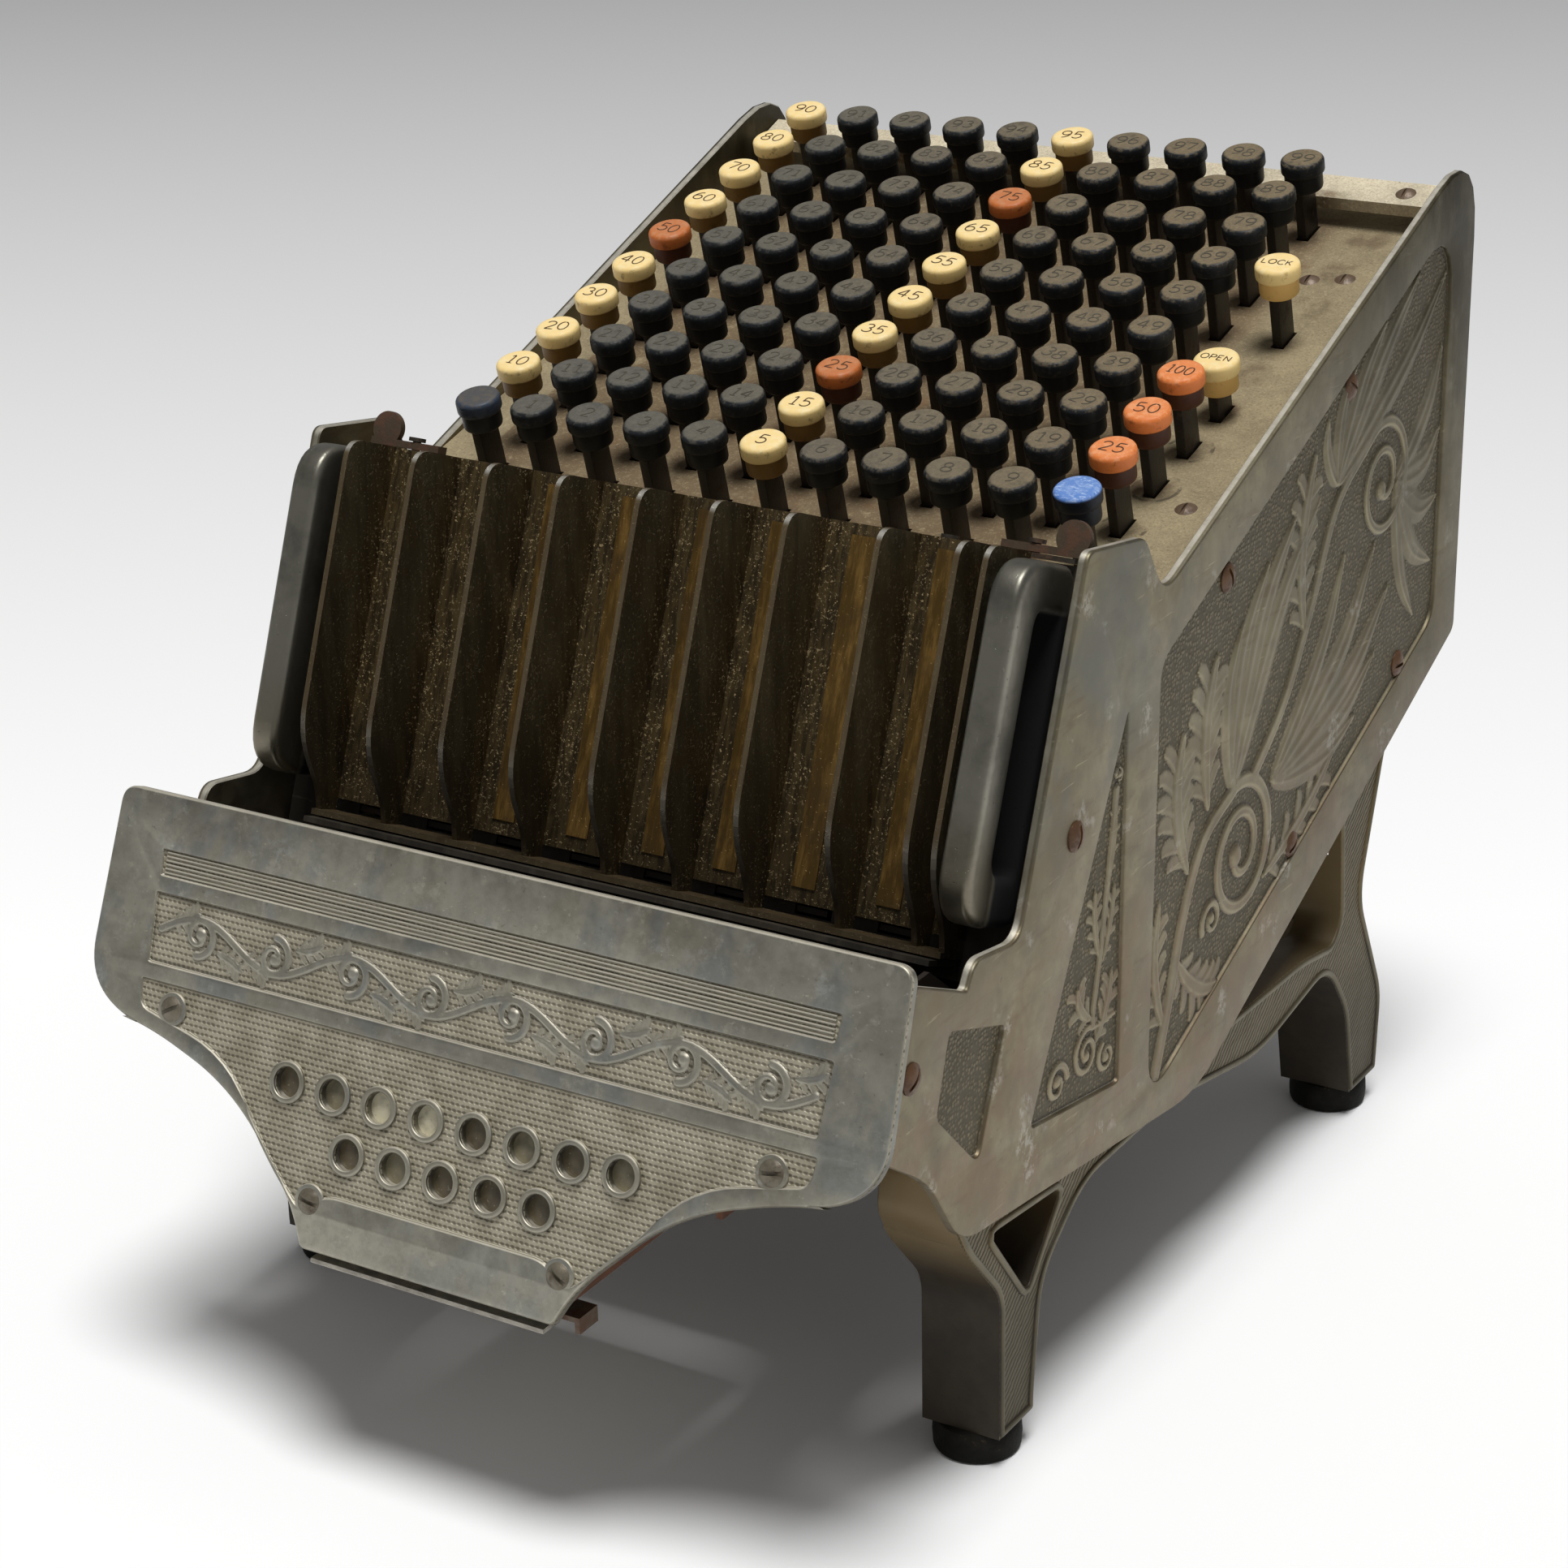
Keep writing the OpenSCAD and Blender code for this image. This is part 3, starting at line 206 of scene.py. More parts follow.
class Skin:
    """The faces of one piece, gathered from grids, rings and flat caps."""

    def __init__(self):
        self.points, self.faces, self.slots, self.smooth, self.cavity = [], [], [], [], []
        self.count = 0

    def add(self, points, faces, slot, smooth, cavity=0.0):
        """Points and the faces between them, counted from the first of these points."""
        points = np.asarray(points, float).reshape(-1, 3)
        self.points.append(points)
        self.cavity.append(np.broadcast_to(np.ravel(cavity), len(points)))
        self.faces.extend((np.asarray(faces) + self.count).tolist())
        self.slots.extend([slot] * len(faces))
        self.smooth.extend([smooth] * len(faces))
        self.count += len(points)

    def grid(self, points, wrap_u=False, wrap_v=False, slot=0, cavity=0.0):
        """Quads between neighbours of a grid of points, closed along u or v on request."""
        nu, nv = points.shape[:2]
        i = np.arange(nu if wrap_u else nu - 1)[:, None]
        j = np.arange(nv if wrap_v else nv - 1)[None]
        k, m = (i + 1) % nu, (j + 1) % nv
        quads = np.stack(np.broadcast_arrays(i * nv + j, k * nv + j, k * nv + m, i * nv + m), -1)
        self.add(points, quads.reshape(-1, 4), slot, True, cavity)

    def cap(self, loops, slot=0):
        """A flat face with holes: the first loop is its outline."""
        lists = [[Vector(p) for p in loop] for loop in loops]
        self.add(np.concatenate(loops), np.array(tessellate_polygon(lists)), slot, False)

    def closed_tube(self, grid, slot=0):
        """A grid that is closed along v, with a cap at each end of u."""
        self.grid(grid, wrap_v=True, slot=slot)
        self.cap([grid[0]], slot)
        self.cap([grid[-1]], slot)

    def turned(self, profile, place, sides, slot=0):
        """A lathe form: profile (radius, height) carried round its axis, placed point by point."""
        r, h = np.array(profile, float).T
        t = np.linspace(0, 2 * math.pi, sides, endpoint=False)
        x, y = r[:, None] * np.cos(t), r[:, None] * np.sin(t)
        self.grid(place(x, y, np.broadcast_to(h[:, None], x.shape)), wrap_v=True, slot=slot)

    def build(self, name, finish_names, body, slot, replaces=(), sharp=SHARP):
        """The mesh object, merged, turned outwards, shaded and riding on its body."""
        mesh = bpy.data.meshes.new(name)
        mesh.from_pydata(np.concatenate(self.points), [], self.faces)
        mesh.polygons.foreach_set("material_index", np.array(self.slots, np.int32))
        mesh.polygons.foreach_set("use_smooth", np.array(self.smooth))
        cavity = np.concatenate(self.cavity)
        if cavity.any():
            mesh.attributes.new("cavity", "FLOAT", "POINT").data.foreach_set("value", cavity)
        return dressed(name, mesh, finish_names, body, slot, replaces, sharp)


def dressed(name, mesh, finish_names, body, slot, replaces, sharp):
    """The object of a mesh, merged and turned outwards, on its body and for its nodes."""
    bm = bmesh.new()
    bm.from_mesh(mesh)
    bmesh.ops.remove_doubles(bm, verts=bm.verts, dist=2e-7)
    bmesh.ops.recalc_face_normals(bm, faces=bm.faces)
    bm.to_mesh(mesh)
    bm.free()
    mesh.set_sharp_from_angle(angle=math.radians(sharp))
    made = bpy.data.objects.new(name, mesh)
    bpy.context.scene.collection.objects.link(made)
    for finish in finish_names:
        mesh.materials.append(finish_of(finish))
    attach(made, body)
    if replaces:
        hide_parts(*replaces)
    return made


def softened(node, finish, width, slot, segments):
    """A merged copy of a solid of the case with rolled edges, which stands for it."""
    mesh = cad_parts[node].data.copy()
    mesh.materials.clear()
    bm = bmesh.new()
    bm.from_mesh(mesh)
    bmesh.ops.remove_doubles(bm, verts=bm.verts, dist=2e-6)
    bmesh.ops.dissolve_limit(bm, angle_limit=math.radians(1.5), verts=bm.verts, edges=bm.edges)
    bm.to_mesh(mesh)
    bm.free()
    mesh.shade_smooth()
    made = dressed(node + "_finish", mesh, [finish], "case", slot, [node], SHARP)
    roll = made.modifiers.new("rolled_edges", "BEVEL")
    roll.width, roll.segments, roll.limit_method = width * MM, segments, "ANGLE"
    roll.angle_limit, roll.harden_normals, roll.use_clamp_overlap = math.radians(SHARP), False, True


def slab(skin, place, outline, low, high, edge, holes, fields):
    """A plate between the depths low and high with rolled edges. Its rim is a quarter round of
    radius edge carried along the outline; a field is (outline, depth, islands) and sinks from
    the high face; holes go through. Flat faces are capped between the loops."""

    def wall(loop, steps):
        """Faces round a loop, inset by the first number of each step at the depth of its second."""
        skin.grid(np.stack([place(inset(loop, r), np.full(len(loop), w)) for r, w in steps]), wrap_v=True)

    step = 1 if high > low else -1
    turn = np.linspace(0, math.pi / 2, 4)
    wall(outline, [(edge * (1 - math.sin(a)), high - step * edge * (1 - math.cos(a))) for a in turn]
         + [(0.0, low + step * edge * 0.5), (edge * 0.5, low)])
    top, bottom = [place(inset(outline, edge), high)], [place(inset(outline, edge * 0.5), low)]
    rolled = min(edge, 0.5)
    for loop, depth, islands in fields:
        floor, foot = high - step * depth, 0.12 * depth + 0.25
        wall(loop, [(-rolled * (1 - math.sin(a)), high - step * rolled * (1 - math.cos(a))) for a in turn]
             + [(0.12 * depth, floor + step * 0.2), (foot, floor)])
        top.append(place(inset(loop, -rolled), high))
        skin.cap([place(inset(loop, foot), floor)] + [place(i, floor) for i in islands])
        for hole in islands:
            wall(hole, [(0, floor), (0, low)])
            bottom.append(place(hole, low))
    for hole in holes:
        wall(hole, [(0, high), (0, low)])
        top.append(place(hole, high))
        bottom.append(place(hole, low))
    skin.cap(top)
    skin.cap(bottom)


def line_sweep(place, path, base, profile, closed, scale):
    """The profile (sideways, outwards) at every point of a flat path, square to it."""
    e = np.roll(path, -1, 0) - np.roll(path, 1, 0) if closed else np.gradient(path, axis=0)
    e /= np.maximum(np.linalg.norm(e, axis=1, keepdims=True), 1e-9)
    n = np.stack([-e[:, 1], e[:, 0]], -1)
    p = path[:, None] + n[:, None] * profile[None, :, :1] * scale[:, None, None]
    return place(p, base + profile[None, :, 1] * scale[:, None])


def moulding(skin, place, path, base, width, height):
    """A raised bead: a half ellipse of that width and height carried round the closed path."""
    t = np.linspace(0, math.pi, 7)
    profile = np.stack([-np.cos(t) * width / 2, np.sin(t) * height], -1)
    profile = np.concatenate([profile, [[width / 2, -0.4], [-width / 2, -0.4]]])
    skin.grid(line_sweep(place, path, base, profile, True, np.ones(len(path))), wrap_u=True, wrap_v=True)


# Relief ornament


def spiral(centre, r, turns, start, sense, count):
    """A volute: the radius falls as (1-t)^0.8 while the angle turns; it ends near the centre."""
    t = np.linspace(0, 1, count)
    a = math.radians(start) + sense * turns * 2 * math.pi * t
    rr = r * ((1 - t) ** 0.8 * 0.86 + 0.14)
    return np.stack([centre[0] + rr * np.cos(a), centre[1] + rr * np.sin(a)], -1)


def blade(path, width, height, groove, blunt, ribs, tilt):
    """A leaf along a line: its half width follows t^0.5 (1-t)^blunt, widest past the middle."""
    t = np.linspace(0.002, 0.998, len(path))
    w = t**0.5 * (1 - t) ** blunt
    return path, width / 2 * w / w.max(), height, groove, ribs, tilt


def stem(path, start, end, height, groove):
    """A stem along a line whose width changes evenly from start to end."""
    t = np.linspace(0, 1, len(path))
    return path, (start + (end - start) * t) / 2, height, groove, 1, 0.0


def volute(path, width, height, groove, bead):
    """A stem that thins to half its width, with a bead of that share of the width in its eye."""
    across = 2 * width * bead
    eye = stem(circle(path[-1], 0.3, 12), across, across, height * 1.1, 0.0)
    return [stem(path, width, width * 0.5, height, groove), eye]


def curl(centre, r, turns, start, sense, width, height):
    """A volute by itself."""
    return volute(spiral(centre, r, turns, start, sense, 110), width, height, 0.3, 0.62)


def scroll(points, centre, r, turns, start, sense, width, height):
    """A stem through the points that runs on into a volute."""
    end = spiral(centre, r, turns, start, sense, 130)
    path = np.concatenate([smooth_line([*points, end[0]], 90)[:-1], end])
    return volute(path, width, height, 0.35, 0.55)


def bowed(root, tip, sags, count):
    """A line from root to tip, moved sideways by the sags at a third, two thirds and its tip."""
    a, b = np.array(root, float), np.array(tip, float)
    n = np.array([-(b - a)[1], (b - a)[0]])
    n /= np.linalg.norm(n)
    third, two_thirds = (a * 2 + b) / 3 + n * sags[0], (a + b * 2) / 3 + n * sags[1]
    return smooth_line([a, third, two_thirds, b + n * sags[2]], count)


def plume(root, tip, sag, width, height):
    """A long leaf of three ribs from root to tip, tilted to the side to which it bows."""
    path = bowed(root, tip, (sag * 0.8, sag, -sag * 0.1), 90)
    return blade(path, width, height, 0.35, 0.75, 3, 0.35 * np.sign(sag))


LOBE = ((0, 0), (0.42, 0.30), (0.66, 0.66), (0.62, 0.92))  # midline of a lobe: ahead, aside


def frond(root, tip, sag, width, height, lobes):
    """An acanthus leaf: a grooved midrib with pairs of lobes that lean forward and curl out."""
    path = bowed(root, tip, (sag * 0.9, sag, 0), 80)
    made = [blade(path, width * 0.62, height, 0.45, 0.5, 1, 0.0)]
    for k in range(lobes):
        t = 0.08 + 0.66 * k / (lobes - 1)
        i = int(t * 79)
        c, e = path[i], path[i + 1] - path[i]
        e /= np.linalg.norm(e)
        out = np.array([-e[1], e[0]])
        reach = width * (0.62 + 0.5 * math.sin(math.pi * (0.15 + 0.75 * t)))
        for side in (-1, 1):
            line = smooth_line([c + (e * ahead + out * side * aside) * reach for ahead, aside in LOBE], 40)
            made.append(blade(line, reach * 0.52, height * (0.7 + 0.2 * t), 0.4, 0.5, 1, 0.5 * side))
    return made


def relief_height(points, strokes):
    """The greatest height of all strokes at each point. Across a stroke, with u from -1 to 1, it is
    a (1 - |u|^3) (1 - g (1 + cos(ribs pi u)) / 2) (1 + tilt u) / (1 + |tilt|)."""
    high = np.zeros(len(points))
    for path, half, a, g, ribs, tilt in strokes:
        reach = half.max() + 0.1
        near = np.flatnonzero(((points > path.min(0) - reach) & (points < path.max(0) + reach)).all(1))
        if not len(near):
            continue
        p = points[near]
        i = ((p[:, None] - path[None]) ** 2).sum(-1).argmin(1)
        e = np.gradient(path, axis=0)
        e /= np.maximum(np.linalg.norm(e, axis=1, keepdims=True), 1e-9)
        off = p - path[i]
        along, across = (off * e[i]).sum(1), off[:, 1] * e[i][:, 0] - off[:, 0] * e[i][:, 1]
        ends = (i == 0) | (i == len(path) - 1)
        u = np.where(ends, np.hypot(along, across), across) / np.maximum(half[i], 0.05)
        body = a * np.clip(1 - np.abs(u) ** 3, 0, 1) * (1 + tilt * u) / (1 + abs(tilt))
        h = body * (1 - g * 0.5 * (1 + np.cos(ribs * math.pi * u)))
        high[near] = np.maximum(high[near], np.where(np.abs(u) < 1, h, 0))
    return high


def within(points, loop):
    """Whether each point lies inside a closed loop, by counting the edges to its right."""
    x, y = points[:, :1], points[:, 1:]
    a, b = loop, np.roll(loop, -1, 0)
    rise = np.where(b[:, 1] == a[:, 1], 1.0, b[:, 1] - a[:, 1])
    cut = (b[:, 0] - a[:, 0]) * (y - a[:, 1]) / rise + a[:, 0]
    return (((a[:, 1] > y) != (b[:, 1] > y)) & (x < cut)).sum(1) % 2 == 1


def averaged(values, times):
    """Each value averaged with its neighbours along both ways of the grid, again and again."""
    for _ in range(2 * times):
        v = np.pad(values, ((1, 1), (0, 0)), mode="edge")
        values = ((v[:-2] + 2 * values + v[2:]) / 4).T
    return values


def border(grid):
    """The outermost values of a grid, once round."""
    return np.concatenate([grid[:, 0], grid[-1, 1:], grid[-2::-1, -1], grid[0, -2:0:-1]])


# A carved sheet's least height off the floor, and how deep its back lies under it
CARVING_LIFT, CARVING_SINK = 0.03, 0.5


def relief(skin, place, corners, floor, sign, strokes, spacing, field, depth):
    """A carved sheet over four corners: points at even shares between them, lifted off the
    floor by the strokes' height, with a skirt and a flat back sunk in the plate. Its cavity is
    the height of the neighbourhood, the field's border included, less the point's own."""
    a, b, c, d = (np.array(p, float) for p in corners)
    nu = int(max(np.linalg.norm(b - a), np.linalg.norm(c - d)) / spacing) + 1
    nv = int(max(np.linalg.norm(d - a), np.linalg.norm(c - b)) / spacing) + 1
    u = np.linspace(0, 1, nu)[:, None, None]
    v = np.linspace(0, 1, nv)[None, :, None]
    p = (1 - u) * (1 - v) * a + u * (1 - v) * b + u * v * c + (1 - u) * v * d
    h = relief_height(p.reshape(-1, 2), strokes).reshape(nu, nv)
    walls = np.where(within(p.reshape(-1, 2), field).reshape(nu, nv), h, depth)
    cavity = averaged(walls, max(2, int(1.3 / spacing**2))) - walls
    front, back = floor + sign * (CARVING_LIFT + h), floor - sign * CARVING_SINK
    skin.grid(place(p, front), cavity=cavity)
    skin.grid(np.stack([place(border(p), border(front)), place(border(p), back)]), wrap_v=True)
    skin.cap([place(border(p), back)])


# Materials


class Wire:
    """One socket of a material; arithmetic on it adds Math nodes."""

    def __init__(self, paint, socket):
        self.paint, self.socket = paint, socket

    def maths(self, operation, *values):
        return self.paint.maths(operation, self, *values)

    def __add__(self, other):
        return self.maths("ADD", other)

    def __mul__(self, other):
        return self.maths("MULTIPLY", other)

    def __sub__(self, other):
        return self.maths("SUBTRACT", other)

    def __rsub__(self, other):
        return self.paint.maths("SUBTRACT", other, self)

    def __truediv__(self, other):
        return self.maths("DIVIDE", other)

    __radd__, __rmul__ = __add__, __mul__

    def size(self):
        return self.maths("ABSOLUTE")

    def least(self, other):
        return self.maths("MINIMUM", other)

    def most(self, other):
        return self.maths("MAXIMUM", other)

    def part(self):
        """What is left of a number after its whole part."""
        return self.maths("FRACT")

    def from_mark(self, pitch):
        """Signed distance to the nearest of the marks a pitch apart, one of them at 0."""
        return (self + pitch / 2).maths("FLOORED_MODULO", pitch) - pitch / 2

    def step(self, low, high):
        """Smoothly from 0 at low to 1 at high; low may be the greater."""
        return self.paint.node("ShaderNodeMapRange", {"Value": self, "From Min": low, "From Max": high},
                               interpolation_type="SMOOTHSTEP", clamp=True)

    def near(self, value, width):
        """1 at the value, falling to 0 within the width."""
        return (self - value).size().step(width, width * 0.3)


def tint(colour, k):
    """The colour k times as bright."""
    return tuple(min(1.0, c * k) for c in colour)


class Paint:
    """The node tree of one material, whose colour is laid on in layers. Where a colour is asked
    for, a number stands for that many times the base colour. Lengths are in millimetres."""

    def __init__(self, name, base=(1, 1, 1)):
        self.material = bpy.data.materials.new(name)
        self.material.use_nodes = True
        self.tree = self.material.node_tree
        self.tree.nodes.clear()
        self.out = self.tree.nodes.new("ShaderNodeOutputMaterial")
        self.base = self.colour = tuple(base)
        self.at = self.node("ShaderNodeTexCoord", {}, "Object")
        self.x, self.y, self.z = (
            self.node("ShaderNodeSeparateXYZ", {0: self.at}, axis) * (1 / MM) for axis in "XYZ")

    def node(self, kind, values, output=0, **settings):
        """A node of that type: its settings first, then each socket's value or link."""
        made = self.tree.nodes.new(kind)
        for key, value in settings.items():
            setattr(made, key, value)
        for key, value in values.items():
            if isinstance(value, Wire):
                self.tree.links.new(value.socket, made.inputs[key])
            else:
                made.inputs[key].default_value = value
        return Wire(self, made.outputs[output])

    def maths(self, operation, *values):
        return self.node("ShaderNodeMath", dict(enumerate(values)), operation=operation)

    def toned(self, colour):
        """The value of a colour socket."""
        if isinstance(colour, Wire):
            return colour
        return (*(tint(self.base, colour) if isinstance(colour, float) else colour), 1)

    def mix(self, share, a, b):
        """Colour a where the share is 0 and b where it is 1."""
        return self.node("ShaderNodeMix", {0: share, 6: self.toned(a), 7: self.toned(b)}, 2, data_type="RGBA")

    def lay(self, share, colour):
        """A colour over those before it: nothing of it where the share is 0, all where it is 1."""
        self.colour = self.mix(share, self.colour, colour)

    def noise(self, size, detail=4.0, rough=0.55, at=None):
        """Noise whose features are about that size."""
        return self.node("ShaderNodeTexNoise", {
            "Vector": at or self.at, "Scale": 1 / (size * MM), "Detail": detail, "Roughness": rough})

    def cells(self, size, at, loose):
        """Distance to the nearest of points about size apart, in lattice at 0 and loose at 1."""
        return self.node("ShaderNodeTexVoronoi", {
            "Vector": at, "Scale": 1 / (size * MM), "Randomness": loose}, "Distance")

    def stretched(self, x, y, z):
        return self.node("ShaderNodeMapping", {"Vector": self.at, "Scale": (x, y, z)})

    def front_depth(self):
        """Depth behind the front edges of the tray's ribs."""
        return (self.y + (MID_Y - FRONT_Y)) * math.cos(LEAN) - (self.z - FRONT_Z) * math.sin(LEAN)

    def front_rise(self):
        """Height along the front's slope from the rib tops."""
        return (self.y + (MID_Y - FRONT_Y)) * math.sin(LEAN) + (self.z - FRONT_Z) * math.cos(LEAN)

    def deck_rise(self):
        """Height off the deck."""
        return (self.z - DECK_H) * math.cos(DECK_ANGLE) - (self.y + MID_Y) * math.sin(DECK_ANGLE)

    def deck_run(self):
        """Distance up the deck's slope."""
        return (self.y + MID_Y) * math.cos(DECK_ANGLE) + (self.z - DECK_H) * math.sin(DECK_ANGLE)

    def facing(self, axis):
        """One component of the piece's own surface normal."""
        return self.node("ShaderNodeSeparateXYZ", {0: self.node("ShaderNodeTexCoord", {}, "Normal")}, axis)

    def bump(self, height, distance, strength=1.0):
        """The normal of a relief that is that high where the height is 1."""
        return self.node("ShaderNodeBump", {
            "Height": height, "Distance": distance * MM, "Strength": strength})

    def surface(self, kind, values):
        self.tree.links.new(self.node(kind, values).socket, self.out.inputs[0])
        return self.material

    def finish(self, roughness, metallic, normal, **fixed):
        """The surface shader; fixed values go straight on its sockets."""
        values = {"Base Color": self.colour, "Roughness": roughness, "Metallic": metallic, "Normal": normal}
        values.update((key.replace("_", " "), value) for key, value in fixed.items())
        return self.surface("ShaderNodeBsdfPrincipled", values)


def sunk_fields(p, place, broad):
    """Shares of a casting's sunk fields with their borders, and of the floors alone."""
    side, depth = p.x.size(), p.front_depth()
    if place == "plate":
        floor = depth.step(PLATE_SET + 1.6, PLATE_SET + 1.0)
        return (depth.step(PLATE_SET + 0.15, PLATE_SET + 0.75) * floor,
                depth.step(PLATE_SET + 0.5, PLATE_SET + 0.7) * floor)
    if place == "leg":
        sunk = side.step(HALF_IN + 0.4, HALF_IN + 0.1) * side.step(HALF_IN - 0.4, HALF_IN - 0.1) * broad
    else:
        sunk = side.step(HALF_W - 0.85, HALF_W - 1.1) * side.step(HALF_IN + 0.2, HALF_IN + 0.9) * broad
    return sunk, sunk


def stippled(p, place):
    """The raised ground of the fields: short dashes in staggered rows on the plate, slanting
    ribs on the legs and loose pebbles on the panels."""
    if place == "plate":
        row = p.front_rise() / 1.62
        across = p.x / 1.6 + row.maths("FLOOR").maths("FLOORED_MODULO", 2.0) * 0.5
        wander = p.noise(2.2, 3, 0.6) * 0.5 - 0.25
        a, b = across.part() - 0.5 + wander, row.part() - 0.5 - wander * 0.6
        return (a * a * 0.45 + b * b * 1.7).maths("SQRT").step(0.10, 0.46)
    if place == "leg":
        slant = (p.y * 0.62 - p.z * 0.78) / 1.7 + p.noise(4, 3, 0.6) * 1.1
        return ((slant.part() - 0.5).size() * 2).step(0.85, 0.25)
    return 1 - p.cells(1.35, p.stretched(0, 1, 1), 0.6).step(0.12, 0.62)


def panel_wear(p, low):
    """Brown streaks, cool patches high in front, warm ones low down, bare spots, and darker
    smears towards the rear and the top."""
    p.lay(p.noise(5, 4, 0.6, p.stretched(1, 0.25, 1.4)).step(0.55, 0.7) * 0.35, (0.13, 0.085, 0.05))
    cool = p.noise(26, 4, 0.6).step(0.36, 0.60) * p.z.step(120, 215) * p.y.step(40, -60)
    p.lay(cool * 0.60, (0.135, 0.142, 0.130))
    warm = p.noise(13, 5, 0.65).step(0.36, 0.62) * p.z.step(200, 110) * (1 - low)
    p.lay(warm * 0.55, (0.215, 0.150, 0.098))
    bare = p.noise(17, 3, 0.5).step(0.60, 0.70) * p.noise(2.4, 4, 0.7).step(0.44, 0.60) * (1 - low)
    p.lay(bare * 0.45, (0.52, 0.50, 0.45))
    back, tall = p.y.step(-20, 190), p.y.step(30, 180) * p.z.step(165, 280)
    smear = p.noise(18, 5, 0.65, p.stretched(1, 1.0, 0.45)).step(0.30, 0.70) * 0.5 + 0.72
    p.lay((back * 0.40 + tall * 0.50) * smear, (0.046, 0.038, 0.021))


def plate_wear(p, low, ground, cloud):
    """Bluish patches, bare spots, a lighter foot as painted light and mottling; over these the dust that
    settled in the fields, dark dirt and painted shade between the dashes, and bare metal on what stands
    proud."""
    blue = p.noise(20, 4, 0.6, p.stretched(1.3, 1, 1)).step(0.48, 0.64) * (0.5 - low * 0.3)
    p.lay(blue, (0.19, 0.21, 0.225))
    spots = p.noise(15, 3, 0.5).step(0.58, 0.70) * p.noise(2.2, 3, 0.7).step(0.40, 0.62)
    p.lay(spots * 0.5, (0.50, 0.51, 0.48))
    # Painted light: the plate is lighter towards its foot
    p.lay(p.front_rise().step(PLATE_TOP - 60, PLATE_TOP - 100) * 0.3 * (1 - low), 1.7)
    p.lay(p.noise(4, 5, 0.7).step(0.40, 0.66) * 0.28, 0.45)
    p.lay(p.noise(7, 5, 0.7).step(0.56, 0.70) * 0.30, 1.75)
    p.lay(low * 0.9, p.mix(cloud.step(0.35, 0.7), (0.50, 0.46, 0.35), (0.34, 0.305, 0.22)))
    # Dirt and painted shade between the dashes
    p.lay(ground * (0.50 + cloud * 0.45), (0.085, 0.070, 0.045))
    raised = p.front_depth().step(PLATE_SET - 0.1, PLATE_SET - 0.35)
    p.lay(raised * 0.5, (0.40, 0.37, 0.285))


def edges_worn_and_lit(p, place, broad, cloud):
    """Bare metal and painted highlight along the edges that face up, and their share. The panels' rims are
    wider, and the plate's faces that look down get dirt and painted shade."""
    # Edges that face up: worn bare metal and painted highlight
    upward = p.facing("Z").step(0.25, 0.75)
    edge = upward * (1 - broad) * (0.45 + cloud * 0.6)
    if place == "plate":
        # Painted shade and dirt on the plate's faces that look down
        p.lay(p.facing("Z").step(0.15, -0.25) * 0.5, (0.06, 0.05, 0.034))
        edge = edge * p.facing("Z").step(0.5, 0.8)
    elif place == "panel":
        # The panels' rims: worn bare metal and painted highlight
        rim = p.x.size().step(HALF_W - 0.9, HALF_W - 1.5) * upward
        p.lay(rim * (0.55 + p.noise(5, 4, 0.7).step(0.36, 0.60) * 0.45), (0.66, 0.63, 0.55))
        edge = rim * 0.5
    else:
        edge = edge * 0.3
    p.lay(edge, (0.56, 0.52, 0.42))
    return edge


